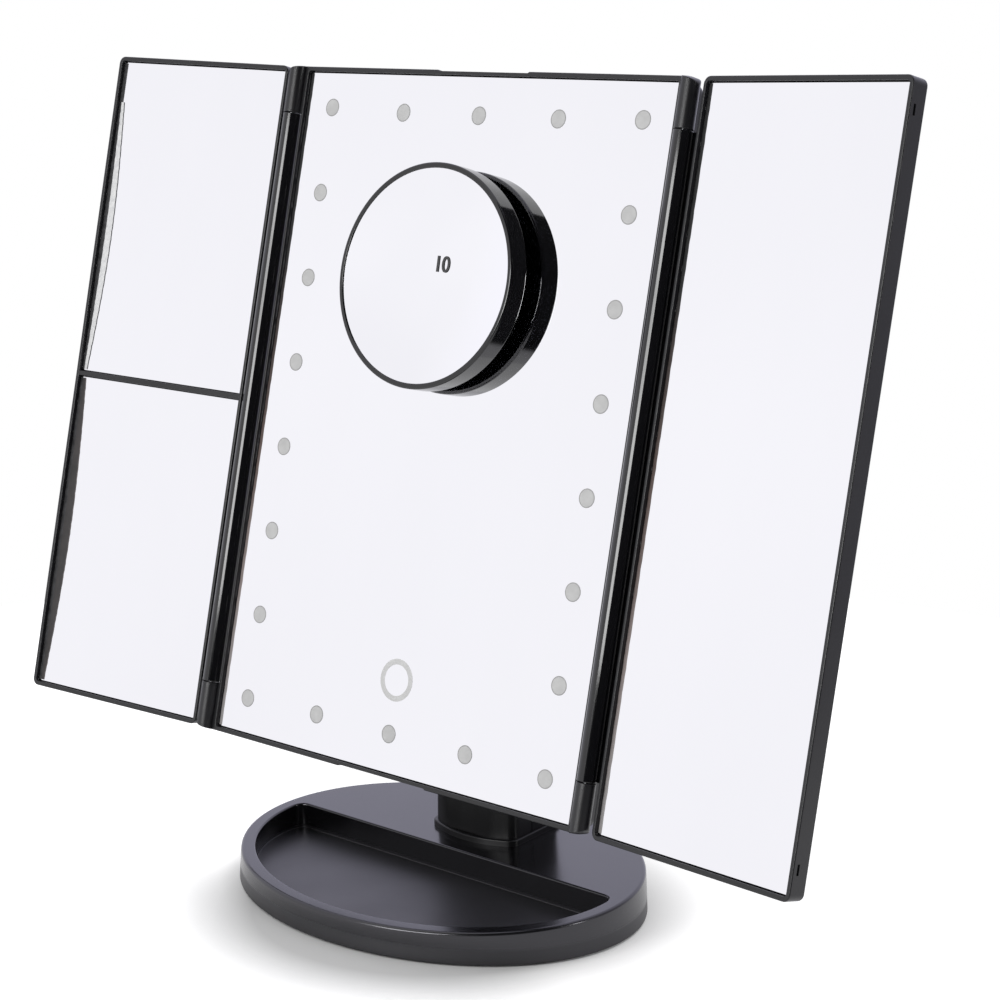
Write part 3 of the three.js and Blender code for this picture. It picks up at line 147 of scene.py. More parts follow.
class HeadSizes(bpy.types.PropertyGroup):
    """Sizes of the centre panel, its housing and the battery box."""

    tilt: turn("Tilt", "How far the head leans back at rest", 13)
    pivot_below: size("Pivot below centre", "Tilt hinge below the panel's middle", 18)
    pivot_behind: size("Pivot behind glass", "Tilt hinge behind the mirror's face", 35)
    glass_width: size("Glass width", "Width of the centre mirror", 159.8)
    glass_height: size("Glass height", "Height of the centre mirror", 233.4)
    glass_thickness: size("Glass thickness", "Thickness of the centre mirror", 2)
    glass_corner: size("Glass corner", "Rounding of the mirror's corners", 0.8)
    side_lip: size("Side lip", "Frame beside the mirror", 1.4)
    end_lip: size("End lip", "Frame above and below the mirror", 1.9)
    proud: size("Lip height", "How far the frame stands in front of the mirror", 1.5)
    frame_depth: size("Frame depth", "How far the frame reaches behind the mirror's face", 6)
    frame_corner: size("Frame corner", "Rounding of the frame's corners", 0.8)
    notch_width: size("Notch width", "Width of the shallow notch in the frame's ends", 39)
    notch_depth: size("Notch depth", "Depth of that notch", 0.5)
    back: size("Housing back", "Rear face of the housing behind the mirror's face", 13)
    seam: size("Seam", "Gap between frame and housing", 0.3)
    bevel: size("Housing bevel", "Rounding of the housing's rear edge", 2.5)
    box_width: size("Box width", "Width of the battery box", 66.9)
    box_height: size("Box height", "Height of the battery box", 67.4)
    box_centre: size("Box centre", "Battery box above the panel's middle", 31)
    box_back: size("Box back", "Rear face of the battery box behind the mirror's face", 24.3)
    door_width: size("Door width", "Width of the battery door", 57.9)
    door_height: size("Door height", "Height of the battery door", 58.4)
    door_thickness: size("Door thickness", "Thickness of the battery door", 1.7)
    cover_corner: size("Housing corner", "Rounding of the housing's corners", 3.5)
    ear_inside: size("Ear inside", "Inner face of each hinge ear from the middle", 18.9)
    ear_thickness: size("Ear thickness", "Thickness of each hinge ear", 5.5)
    ear_root: size("Ear root", "Height of an ear where it leaves the housing", 26)
    screw_side: size("Screw inset", "Housing screws in from the frame's sides", 5)
    screw_end: size("Screw end inset", "Housing screws in from the frame's ends", 13.6)
    screw_head: size("Screw head", "Radius of a housing screw's head", 1.98)
    # The band along a mirror's left side is a painted reflection of the frame's lip wall, paler at its
    # foot where the lip catches the floor.
    lip_reflection: size("Lip reflection", "Width of the ground band along a mirror's left side", 1.4)
    switch_u: size("Switch across", "Switch knob's middle across the panel", -46)
    switch_v: size("Switch up", "Switch knob's middle up the panel", -44)
    switch_travel: size("Switch travel", "How far the switch knob slides", 4)
    socket_v: size("Socket up", "Power inlet's middle up the panel", -66)


class LightSizes(bpy.types.PropertyGroup):
    """Sizes of the lamp windows and the touch ring on the centre mirror."""

    side_margin: size("Side margin", "Lamp columns in from the mirror's sides", 12.3)
    end_margin: size("End margin", "Lamp rows in from the mirror's ends", 12.05)
    row_inset: size("Row inset", "Inner lamps of a row nearer the middle by", 0.8)
    radius: size("Window radius", "Radius of a lamp window", 3.1)
    per_side: count("Lamps in a column", "Lamp windows in each column", 8)
    per_row: count("Lamps in a row", "Lamp windows in each row, corners included", 5)
    ring_radius: size("Ring radius", "Outer radius of the touch ring", 7.15)
    ring_stroke: size("Ring stroke", "Width of the touch ring's line", 1.9)
    ring_above_edge: size("Ring height", "Touch ring above the mirror's lower edge", 31.1)
    film: size("Film", "How far the touch ring stands on the glass", 0.03)
    # The darker line round a lamp window is painted shade, for the shade at the edge of its recess.
    rim: size("Window rim shade", "Width of the darker line round a lamp window", 0.35)


class WingSizes(bpy.types.PropertyGroup):
    """Sizes of the two folding wings and their hinges."""

    hinge_u: size("Hinge across", "Hinge axis from the panel's middle", 85)
    hinge_w: size("Hinge out", "Hinge axis in front of the mirror's face", 1.8)
    barrel: size("Barrel radius", "Radius of the hinge barrels", 3.2)
    knuckle: size("Knuckle length", "Length of each of the frame's four knuckles", 17)
    knuckle_fall: size("Knuckle fall", "How far a knuckle's end falls away to its outer side", 2.5)
    gap: size("Barrel gap", "Gap between a knuckle and the long barrel", 0.3)
    left_open: turn("Left wing", "How far the left wing stands forward at rest", 7.2)
    right_open: turn("Right wing", "How far the right wing stands forward at rest", 7.2)
    start: size("Wing start", "Wing's inner edge from the hinge axis", 5)
    reach: size("Wing reach", "Wing's outer edge from the hinge axis", 84.7)
    depth: size("Wing depth", "Thickness of the wing", 6.8)
    inner_lip: size("Inner lip", "Frame between the hinge and the wing's mirror", 1.3)
    outer_lip: size("Outer lip", "Frame outside the wing's mirror", 1.5)
    glass: size("Glass thickness", "Thickness of the wing's mirror", 1.8)
    corner: size("Wing corner", "Rounding of the wing's corners", 2.5)
    web_drop: size("Web drop", "Web beside the barrel below the wing's lip", 2.3)
    bar: size("Split bar", "Bar between the left wing's two mirrors", 1.8)
    bar_v: size("Split height", "Height of that bar's middle", -0.2)
    slot_length: size("Slot length", "Length of the small slots in the wing's outer side", 3.3)
    slot_width: size("Slot width", "Width of those slots", 1)
    slot_depth: size("Slot depth", "Depth of those slots", 0.5)
    slot_v: size("Slot height", "Slots above and below the wing's middle", 108.9)
    slot_behind: size("Slot behind front", "Slots behind the wing's front face", 1.6)
    band_bow: size("Band bow", "How far the worn bands of the left wing's mirrors swell", 2.7)
    chip_drop: size("Chip drop", "Chipped band of the upper left mirror ends below its top by", 14.5)


class SpotSizes(bpy.types.PropertyGroup):
    """Sizes of the round spot mirror."""

    across: size("Across", "Spot mirror's middle across the panel", -3.5)
    up: size("Up", "Spot mirror's middle up the panel", 48.6)
    radius: size("Radius", "Radius of the spot mirror's shell", 37.6)
    standoff: size("Standoff", "Gap between its back and the centre mirror", 4)
    height: size("Height", "Height of the shell's wall", 8.3)
    rim: size("Rim", "Width of the shell's front rim", 1.8)
    drop: size("Glass drop", "Glass edge below the rim", 0.5)
    glass: size("Glass thickness", "Thickness of the spot mirror's glass", 1.6)
    sag: size("Sag", "How far the concave face dips in its middle", 3.2)
    number_across: size("Number across", "Number right of the mirror's middle", 4.7)
    number_up: size("Number up", "Number above the mirror's middle", 4.3)
    number_height: size("Number height", "Size of the number's type", 7.4)


class FinishColours(bpy.types.PropertyGroup):
    """Colours of the mirror's finishes."""

    frame_black: tone("Frame black", "Matt plastic of the frames", (0.009, 0.009, 0.011))
    base_black: tone("Base black", "Satin plastic of the base", (0.0035, 0.0035, 0.0042))
    gloss_black: tone("Gloss black", "Polished barrels, neck and spot mirror", (0.004, 0.004, 0.005))
    silver: tone("Silver", "Silvering of the mirrors", (0.955, 0.955, 0.98))
    etched: tone("Etched", "Frosted lamp windows", (0.65, 0.65, 0.65))
    ring_grey: tone("Ring grey", "Touch ring", (0.72, 0.72, 0.72))
    rubber: tone("Rubber", "Non-slip pad and washers", (0.020, 0.020, 0.021))
    steel: tone("Steel", "Screws, bolt and ballast", (0.56, 0.57, 0.59))


class StudioSettings(bpy.types.PropertyGroup):
    """Floor, surroundings and camera."""

    # The floor keeps floor_tone only round the base and turns white farther out: a painted shadow round
    # the base, placed by the shade settings and leaning towards the camera.
    floor_tone: tone("Floor", "Pale floor", (0.69, 0.69, 0.69))
    floor_reach: size("Floor reach", "Radius of the round floor", 450)
    floor_glow: share("Floor glow", "How much the floor is lifted to white away from the mirror", 0.42)
    shade_reach: factor(
        "Shade reach", "Where the floor is fully lifted, as a multiple of the base's outline", 1.30, 1.01
    )
    shade_shift: size("Shade shift", "How far the middle of the shade lies towards the camera", 13)
    front_tone: tone("Front", "Pale surroundings in front, in gloss and glass", (0.965, 0.96, 0.985))
    rear_tone: tone("Rear", "Pale surroundings behind, in gloss and glass", (0.84, 0.83, 1.0))
    rear_gain: factor("Rear gain", "How much brighter the rear is than its tone", 1.3, 0.0)
    right_tone: tone("Right", "Duller surroundings to the right, in gloss", (0.43, 0.42, 0.46))
    ambient: share("Ambient", "Even light from all around", 0.62)
    cloud_tone: tone("Cloud tone", "Faint clouds in the surroundings", (0.45, 0.45, 0.50))
    dark_tone: tone("Dark tone", "Darkest tone of the studio's dark side", (0.03, 0.03, 0.032))
    dark_turn: turn("Dark turn", "Heading of the studio's dark side, from the front", 50)
    dark_rise: turn("Dark rise", "Height of the dark side above the horizon", 22)
    dark_inner: turn("Dark inner", "Half width of its darkest part", 50)
    dark_outer: turn("Dark outer", "Half width at which it has faded out", 54)
    camera_x: size("Camera X", "Camera to the right of the base's middle", 508.6)
    camera_y: size("Camera Y", "Camera behind the base's middle", -567.8)
    camera_z: size("Camera Z", "Camera above the table", 301.3)
    camera_turn: turn("Camera turn", "Camera's heading", 40.28)
    camera_drop: turn("Camera drop", "Camera's tilt below the horizon", 12.09)
    lens: bpy.props.FloatProperty(
        name="Lens",
        description="Focal length for a sensor 36 mm wide",
        default=83.64,
        subtype="DISTANCE_CAMERA",
        unit="CAMERA",
    )


def sizes(group):
    """One of the mirror's property groups on the current scene."""
    return getattr(bpy.context.scene, "mirror_" + group)


# Places: the head's own axes are across, up the panel and out of the mirror's face.


def head_place():
    """From the head's own axes to the room."""
    head, stand = sizes("head"), sizes("stand")
    sine, cosine = math.sin(head.tilt), math.cos(head.tilt)
    y = stand.pivot_y + head.pivot_below * sine - head.pivot_behind * cosine
    z = stand.pivot_z + head.pivot_below * cosine + head.pivot_behind * sine
    return Matrix.Translation((0, y, z)) @ Matrix.Rotation(math.pi / 2 - head.tilt, 4, "X")


def wing_place(side):
    """From a wing's own axes, which start on its hinge, to the room."""
    wing = sizes("wing")
    opened = wing.left_open if side < 0 else wing.right_open
    hinge = Matrix.Translation((side * wing.hinge_u, 0, wing.hinge_w))
    return head_place() @ hinge @ Matrix.Rotation(-side * opened, 4, "Y")


def frame_half_width():
    """Half the width of the centre panel's frame."""
    head = sizes("head")
    return head.glass_width / 2 + head.side_lip


def frame_half_height():
    """Half the height of the frames."""
    head = sizes("head")
    return head.glass_height / 2 + head.end_lip


# Outlines: each takes an inset and returns the same number of points for any inset.


def rect_outline(width, height, radius, centre=(0, 0), steps=7, notch=None):
    """A rounded rectangle; notch is (half width, depth) of a shallow step in its two ends."""

    def outline(inset):
        half_w, half_h = width / 2 - inset, height / 2 - inset
        bend = max(radius - inset, 0.1 * MM)
        points = []
        for corner in range(4):
            sx = 1 if corner in (0, 1) else -1
            sy = 1 if corner in (1, 2) else -1
            middle = (centre[0] + sx * (half_w - bend), centre[1] + sy * (half_h - bend))
            first = -math.pi / 2 + corner * math.pi / 2
            for step in range(steps + 1):
                angle = first + step * math.pi / 2 / steps
                points.append((middle[0] + bend * math.cos(angle), middle[1] + bend * math.sin(angle)))
            if notch and corner in (1, 3):
                reach, deep = notch
                deep = max(deep - inset, 0)
                slope = 0.4 * MM
                y = centre[1] + sy * half_h
                for x, cut in ((reach + slope, 0), (reach, deep), (-reach, deep), (-reach - slope, 0)):
                    points.append((centre[0] + sy * x, y - sy * cut))
        return points

    return outline


def disc_outline(radius, centre, steps):
    """A circle."""

    def outline(inset):
        turns = [2 * math.pi * i / steps for i in range(steps)]
        reach = radius - inset
        return [(centre[0] + reach * math.cos(t), centre[1] + reach * math.sin(t)) for t in turns]

    return outline


def arc(middle, radius, start, end, steps):
    """Points along a part of a circle."""
    turns = [start + (end - start) * i / steps for i in range(steps + 1)]
    return [(middle[0] + radius * math.cos(t), middle[1] + radius * math.sin(t)) for t in turns]


def curve_point(a, b, c, along):
    """A point on the quadratic curve from a to c that bends towards b."""
    rest = 1 - along
    first, middle, last = rest * rest, 2 * rest * along, along * along
    return tuple(first * p + middle * q + last * r for p, q, r in zip(a, b, c))


def tray_outline():
    """The half-moon of the tray."""
    stand = sizes("stand")

    def outline(inset):
        a = stand.width / 2 - stand.rim - inset
        b = stand.depth / 2 - stand.rim - inset
        rear = stand.tray_rear - inset
        meet = math.asin(rear / b)
        corner = max(stand.tray_corner - inset, 0.5 * MM)
        ease = corner / b
        start = math.pi - meet + ease
        end = 2 * math.pi + meet - ease
        around, bend, straight = 96, 8, 60
        turns = [start + (end - start) * i / around for i in range(around + 1)]
        points = [(a * math.cos(t), b * math.sin(t)) for t in turns]
        edge = a * math.cos(meet)
        right, left = points[-1], points[0]
        for i in range(1, bend + 1):
            points.append(curve_point(right, (edge, rear), (edge - corner, rear), i / bend))
        for i in range(1, straight):
            points.append((edge - corner - 2 * (edge - corner) * i / straight, rear))
        for i in range(bend):
            points.append(curve_point((corner - edge, rear), (-edge, rear), left, i / bend))
        return points

    return outline


def oval_angles(points, centre_y, a, b):
    """Where rays from a point on the middle line, through the given points, meet an oval."""
    angles = []
    for x, y in points:
        dx, dy = x, y - centre_y
        qa = (dx / a) ** 2 + (dy / b) ** 2
        qb = 2 * centre_y * dy / b**2
        qc = (centre_y / b) ** 2 - 1
        reach = (-qb + math.sqrt(qb * qb - 4 * qa * qc)) / (2 * qa)
        angles.append(math.atan2((centre_y + reach * dy) / b, reach * dx / a))
    return angles


def neck_outline():
    """The neck in plan, bowed at the front."""
    stand = sizes("stand")

    def outline(inset):
        half = stand.neck_width / 2 - inset
        rear = stand.neck_rear - inset
        side = stand.neck_side + inset
        front = stand.neck_front + inset
        bend = max(stand.neck_corner - inset / 2, 0.4 * MM)
        start = side - bend / 3
        few, many = 8, 24
        curves = [
            ((half, rear - bend), (half, rear), (half - bend, rear), few),
            ((bend - half, rear), (-half, rear), (-half, rear - bend), few),
            ((-half, side + bend), (-half, side), (bend - half, start), few),
            ((bend - half, start), (0, 2 * front - side), (half - bend, start), many),
            ((half - bend, start), (half, side), (half, side + bend), few),
        ]
        points = []
        for a, b, c, steps in curves:
            points.extend(curve_point(a, b, c, i / steps) for i in range(steps))
            if steps == few:
                points.append(c)
        return points

    return outline


# Profiles: lists of (inset, height) that a wall follows.


def quarter(steps):
    """A quarter turn in even steps, each as what its sine and its cosine fall short of 1."""
    turns = [math.pi / 2 * i / steps for i in range(steps + 1)]
    return [(1 - math.sin(t), 1 - math.cos(t)) for t in turns]


def rounded_profile(low, high, low_round, high_round, steps=4):
    """A straight wall with both of its edges rounded."""
    foot = [(low_round * s, low + low_round * c) for s, c in quarter(steps)]
    return foot + [(high_round * c, high - high_round * s) for s, c in quarter(steps)]


class Shell:
    """Points and faces of a piece, gathered before they become a mesh."""

    def __init__(self, place=None):
        self.place = place or Matrix.Identity(4)
        self.points = []
        self.faces = []

    def rings(self, loops, closed=False, place=None):
        """Joins loops of points into a skin; closed joins the last loop to the first."""
        to_room = self.place if place is None else place
        around = len(loops[0])
        starts = [len(self.points) + row * around for row in range(len(loops))]
        for loop in loops:
            self.points.extend(to_room @ Vector(point) for point in loop)
        pairs = list(zip(starts, starts[1:]))
        if closed:
            pairs.append((starts[-1], starts[0]))
        for low, high in pairs:
            for i in range(around):
                j = (i + 1) % around
                self.faces.append([low + i, low + j, high + j, high + i])
        if not closed:
            self.faces.append([starts[0] + i for i in reversed(range(around))])
            self.faces.append([starts[-1] + i for i in range(around)])

    def wall(self, outline, profile, closed=False, place=None):
        """An outline drawn along a profile of insets and heights."""
        loops = [[(x, y, height) for x, y in outline(inset)] for inset, height in profile]
        self.rings(loops, closed=closed, place=place)

    def turned(self, profile, steps, place):
        """A body of revolution about the third axis; the profile starts and ends on the axis."""
        turns = [2 * math.pi * i / steps for i in range(steps)]
        loops = [[(r * math.cos(t), r * math.sin(t), h) for t in turns] for r, h in profile]
        self.rings(loops, place=place)

    def block(self, x, y, z, rounding, place=None):
        """A block with its upright edges and both ends rounded."""
        centre = ((x[0] + x[1]) / 2, (y[0] + y[1]) / 2)
        outline = rect_outline(x[1] - x[0], y[1] - y[0], rounding, centre, steps=3)
        self.wall(outline, rounded_profile(z[0], z[1], rounding * 0.9, rounding * 0.9, 3), place=place)

    def build(self, name, sharp=35):
        """Makes the mesh object, its faces pointing outwards."""
        mesh = bpy.data.meshes.new(name)
        mesh.from_pydata(self.points, [], self.faces)
        shape = bmesh.new()
        shape.from_mesh(mesh)
        bmesh.ops.remove_doubles(shape, verts=shape.verts, dist=WELD)
        bmesh.ops.dissolve_degenerate(shape, edges=shape.edges, dist=WELD)
        bmesh.ops.recalc_face_normals(shape, faces=shape.faces)
        shape.to_mesh(mesh)
        shape.free()
        return smoothed(placed(name, mesh), sharp)


def placed(name, data):
    """A new object in the scene."""
    thing = bpy.data.objects.new(name, data)
    bpy.context.scene.collection.objects.link(thing)
    return thing


def smoothed(thing, angle):
    """Smooth faces, but for edges where they turn by more than an angle in degrees."""
    for polygon in thing.data.polygons:
        polygon.use_smooth = True
    thing.data.set_sharp_from_angle(angle=math.radians(angle))
    return thing


def even_normals(thing):
    """Keeps wide flat faces flat beside their rounded edges."""
    weighted = thing.modifiers.new("Even normals", "WEIGHTED_NORMAL")
    weighted.keep_sharp = True
    weighted.weight = 80
    return thing


def baked(thing, name):
    """The evaluated shape of an object as a plain mesh object of its own."""
    bpy.context.view_layer.update()
    graph = bpy.context.evaluated_depsgraph_get()
    mesh = bpy.data.meshes.new_from_object(thing.evaluated_get(graph))
    mesh.name = name
    return placed(name, mesh)


def discard(*things):
    """Removes helper objects."""
    for thing in things:
        bpy.data.objects.remove(thing, do_unlink=True)


def combined(name, first, *steps):
    """A shape joined with, cut by or kept inside others, one after another."""
    for index, (operation, other) in enumerate(steps):
        modifier = first.modifiers.new(f"Step {index}", "BOOLEAN")
        modifier.operation = operation
        modifier.object = other
        modifier.solver = "EXACT"
    result = baked(first, name)
    discard(first, *(other for _, other in steps))
    return result


def joined(name, *things):
    """Several shapes put side by side in one mesh."""
    gathered = bmesh.new()
    for thing in things:
        gathered.from_mesh(thing.data)
    mesh = bpy.data.meshes.new(name)
    gathered.to_mesh(mesh)
    gathered.free()
    discard(*things)
    return placed(name, mesh)


def eased(thing, width, segments, angle):
    """Rounds the sharp edges of a shape and smooths it."""
    bevel = thing.modifiers.new("Rounding", "BEVEL")
    bevel.width = width
    bevel.segments = segments
    bevel.limit_method = "ANGLE"
    bevel.angle_limit = math.radians(angle)
    bevel.use_clamp_overlap = True
    return even_normals(smoothed(thing, angle + 15))


def settle(thing, finish, body, slot, *nodes):
    """Gives a piece its finish, its body and the nodes that it stands for."""
    if not thing.data.vertices:
        raise RuntimeError(f"{thing.name} came out empty")
    thing.data.materials.clear()
    thing.data.materials.append(finish_for(finish))
    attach(thing, body)
    if nodes:
        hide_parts(*nodes)


# Finishes


class Nodes:
    """A node tree, and the steps that build it."""

    prefix = "ShaderNode"

    def __init__(self, tree):
        self.nodes, self.links = tree.nodes, tree.links

    def feed(self, socket, value):
        """Links an input to a socket, or sets it to a constant."""
        if isinstance(value, bpy.types.NodeSocket):
            self.links.new(value, socket)
        elif socket.type == "RGBA":
            socket.default_value = (*value, 1)
        else:
            socket.default_value = value

    def node(self, kind, settings=None, **inputs):
        """Adds a node; settings are its own options, the rest are its inputs by name."""
        node = self.nodes.new(kind if kind.startswith("Shader") else self.prefix + kind)
        for key, value in (settings or {}).items():
            setattr(node, key, value)
        for key, value in inputs.items():
            self.feed(node.inputs[key.replace("_", " ")], value)
        return node

    def reckon(self, operation, *values, kind="Math"):
        """A number worked out from numbers or sockets, or from vectors."""
        node = self.node("ShaderNode" + kind, {"operation": operation})
        for socket, value in zip(node.inputs, values):
            self.feed(socket, value)
        return node.outputs["Value"]

    def spread(self, source, low, high, from_low=0.3, from_high=0.7, soft=False):
        """Maps a tone to a range."""
        shape = {"interpolation_type": "SMOOTHSTEP" if soft else "LINEAR"}
        ends = {"From_Min": from_low, "From_Max": from_high, "To_Min": low, "To_Max": high}
        return self.node("MapRange", shape, Value=source, **ends).outputs["Result"]

    def blend(self, share_of, first, second):
        """A colour between two others, each a socket or a plain colour."""
        node = self.node("Mix", {"data_type": "RGBA"}, Factor=share_of)
        ends = [socket for socket in node.inputs if socket.type == "RGBA"]
        for socket, colour in zip(ends, (first, second)):
            self.feed(socket, colour)
        return next(socket for socket in node.outputs if socket.type == "RGBA")

    def either(self, switch, no, yes):
        """One of two shaders."""
        node = self.node("MixShader")
        for socket, value in zip(node.inputs, (switch, no, yes)):
            self.feed(socket, value)
        return node.outputs["Shader"]

    def past_mirror(self, path):
        """1 for a ray that comes straight off a clear mirror, and 0 for every other."""
        first = self.reckon("LESS_THAN", path["Glossy Depth"], 1.5)
        return self.reckon("MULTIPLY", path["Is Singular Ray"], first)

    def straight(self, path):
        """1 for a ray from the camera, through a clear piece too, and 0 for every other."""
        return self.reckon("MAXIMUM", path["Is Camera Ray"], path["Is Transmission Ray"])


class Finish(Nodes):
    """A material's node tree, with its main shader ready."""

    def __init__(self, name, **values):
        self.material = bpy.data.materials.new(name)
        self.material.use_nodes = True
        super().__init__(self.material.node_tree)
        self.shader = self.nodes["Principled BSDF"]
        self.place = self.node("TexCoord").outputs["Object"]
        self.set(**values)

    def set(self, **values):
        """Gives inputs of the main shader, by name, a constant or a socket."""
        for name, value in values.items():
            self.feed(self.shader.inputs[name.replace("_", " ")], value)

    def noise(self, scale, detail=3.0, roughness=0.55, stretch=None):
        """Soft random tone; stretch scales it along each axis."""
        place = self.place
        if stretch:
            place = self.node("Mapping", Vector=place, Scale=stretch).outputs["Vector"]
        texture = self.node("TexNoise", Vector=place, Scale=scale, Detail=detail, Roughness=roughness)
        return texture.outputs["Fac"]

    def cells(self, scale):
        """Distance from the nearest of many scattered points."""
        return self.node("TexVoronoi", Vector=self.place, Scale=scale).outputs["Distance"]

    def height(self):
        """Height above the table."""
        return self.node("SeparateXYZ", Vector=self.place).outputs["Z"]

    def ramp(self, source, low, high):
        """Maps a tone between two colours."""
        node = self.node("ValToRGB", Fac=source)
        for end, position, colour in zip(node.color_ramp.elements, (0.3, 0.7), (low, high)):
            end.position = position
            end.color = (*colour, 1)
        return node.outputs["Color"]

    def bump(self, *layers):
        """Stacks bumps, each a tone, its height in metres and its strength."""
        under = {}
        for source, height, strength in layers:
            node = self.node("Bump", Height=source, Distance=height, Strength=strength, **under)
            under = {"Normal": node.outputs["Normal"]}
        self.set(**under)


def drift(colour, darker, lighter):
    """A colour's darker and lighter ends, each by a factor."""
    return [tuple(min(max(part * by, 0), 1) for part in colour) for by in (darker, lighter)]


def grained(name, colours, cloud, grain, rough, height, strength, **values):
    """A finish between two colours by a cloud, its sheen and its fine bumps by a grain."""
    finish = Finish(name, **values)
    fine = finish.noise(*grain)
    finish.set(Base_Color=finish.ramp(finish.noise(*cloud), *colours))
    finish.set(Roughness=finish.spread(fine, *rough))
    finish.bump((fine, height, strength))
    return finish.material


def moulded(name, colour, rough, grain, height):
    """Moulded plastic: fine spark-eroded grain, cloudy sheen and slight colour drift."""
    finish = Finish(name, IOR=1.5)
    cloud = finish.noise(35, 4)
    finish.set(Base_Color=finish.ramp(cloud, *drift(colour, 0.85, 1.18)))
    finish.set(Roughness=finish.spread(cloud, *rough))
    fine, pits = finish.noise(grain, 2, 0.6), finish.cells(grain * 0.6)
    finish.bump((fine, height, 0.5), (pits, height * 0.6, 0.35))
    return finish.material


def frame_black():
    """Matt plastic of the frames, the housing and its door."""
    return moulded("Frame black", sizes("finish").frame_black, (0.30, 0.38), 2600, 0.00003)


def base_black():
    """Satin plastic of the base, duller on the floor of its tray."""
    finish = Finish("Base black", IOR=1.68, Specular_Tint=(0.95, 0.94, 1.0))
    cloud = finish.noise(22, 4)
    finish.set(Base_Color=finish.ramp(cloud, *drift(sizes("finish").base_black, 0.85, 1.2)))
    floor = sizes("stand").tray_floor
    dull = finish.spread(finish.height(), 0.22, 0.0, floor + 0.3 * MM, floor + 1.5 * MM)
    finish.set(Roughness=finish.reckon("ADD", finish.spread(cloud, 0.16, 0.24), dull))
    finish.bump((finish.noise(60, 2), 0.00002, 0.15), (finish.cells(900), 0.000006, 0.12))
    return finish.material


def gloss_black():
    """Polished plastic of the hinge barrels and the spot mirror."""
    finish = Finish("Gloss black", IOR=1.6)
    cloud = finish.noise(28, 3)
    finish.set(Base_Color=finish.ramp(cloud, *drift(sizes("finish").gloss_black, 0.8, 1.3)))
    finish.set(Roughness=finish.spread(cloud, 0.06, 0.11))
    finish.bump((finish.noise(420, 2), 0.000012, 0.2))
    return finish.material


def neck_black():
    """Dull black of the neck and its collar, with fine upright lines."""
    colours = drift(sizes("finish").gloss_black, 0.8, 1.3)
    lines = (120, 2, 0.5, (1.0, 1.0, 0.05))
    return grained("Neck black", colours, (30, 3), lines, (0.30, 0.42), 0.00002, 0.2, IOR=1.42)


def mirror_silver():
    """Clear silvered glass with a faint haze of wiping marks."""
    finish = Finish("Mirror silver", Metallic=1.0)
    haze = finish.noise(14, 5, 0.6, (1.0, 1.0, 0.35))
    finish.set(Base_Color=finish.ramp(haze, *drift(sizes("finish").silver, 0.985, 1)))
    finish.set(Roughness=finish.spread(haze, 0.0, 0.003))
    return finish.material


def etched_glass():
    """Frosted lamp window, slightly grainy."""
    colours = drift(sizes("finish").etched, 0.93, 1.05)
    return grained("Etched glass", colours, (260, 2), (2400, 3), (0.5, 0.72), 0.00001, 0.4)


def painted_window_shade():
    """The darker line round a lamp window: painted shade at the edge of the window's recess."""
    colours = ((0.38, 0.38, 0.38), (0.44, 0.44, 0.44))
    return grained("Window rim shade", colours, (2400, 3), (2400, 3), (0.5, 0.7), 0.00001, 0.3)


def painted_lip_reflection():
    """Painted reflection of the frame's lip along a mirror's left side: pale at the foot, brownish above
    it and dark towards the top.
    """
    finish = Finish("Painted lip reflection")
    uneven = finish.reckon("MULTIPLY_ADD", finish.noise(22, 3, 0.6), 0.05, finish.height())
    fade = finish.node("ValToRGB", Fac=finish.spread(uneven, 0.0, 1.0, 0.07, 0.24))
    stops = fade.color_ramp.elements
    stops[0].color = (0.36, 0.35, 0.35, 1)
    stops[1].color = (0.012, 0.012, 0.013, 1)
    for position, colour in ((0.35, (0.30, 0.25, 0.24, 1)), (0.62, (0.13, 0.09, 0.08, 1))):
        stops.new(position).color = colour
    chips = finish.noise(700, 4, 0.7)
    finish.set(Base_Color=fade.outputs["Color"], Roughness=finish.spread(chips, 0.4, 0.7))
    finish.bump((chips, 0.00006, 0.5))
    return finish.material


def edge_glass(name, low, high, scale):
    """Edge band of a wing's mirror, in a range of two colours: worn, chipped and stained glass, and also
    painted shade beside the lip.
    """
    flecks = (scale, 4, 0.7)
    return grained(name, (low, high), flecks, flecks, (0.35, 0.6), 0.00005, 0.4)


def ring_grey():
    """Thin etched line of the touch ring."""
    colours = drift(sizes("finish").ring_grey, 0.95, 1.04)
    return grained("Ring grey", colours, (200, 2), (2400, 3), (0.5, 0.7), 0.00001, 0.3)


def number_ink():
    """Printed ink of the number on the spot mirror."""
    colours = ((0.030, 0.030, 0.032), (0.050, 0.050, 0.052))
    return grained("Number ink", colours, (1800, 3), (1800, 3), (0.4, 0.6), 0.000008, 0.3)


def rubber():
    """Soft rubber of the pad under the base."""
    colours = drift(sizes("finish").rubber, 0.8, 1.3)
    return grained("Soft rubber", colours, (40, 3), (1500, 4), (0.72, 0.9), 0.00004, 0.5)


def steel(name, colour, rough=(0.22, 0.4)):
    """Bare metal with fine drawing lines and dull spots."""
    lines = (300, 3, 0.6, (1.0, 1.0, 14.0))
    return grained(name, drift(colour, 0.85, 1.08), (180, 4), lines, rough, 0.00001, 0.25, Metallic=1.0)


def printed_sleeve():
    """Bare coloured sleeve of a battery cell."""
    colours = ((0.12, 0.13, 0.15), (0.17, 0.18, 0.20))
    return grained("Cell sleeve", colours, (120, 3), (900, 2), (0.25, 0.4), 0.00001, 0.2, Metallic=0.4)


def pale_plastic(name, colour):
    """Pale plastic of the diffuser and the lamp strips."""
    return grained(name, drift(colour, 0.94, 1.03), (80, 3), (1500, 3), (0.45, 0.62), 0.00001, 0.3)


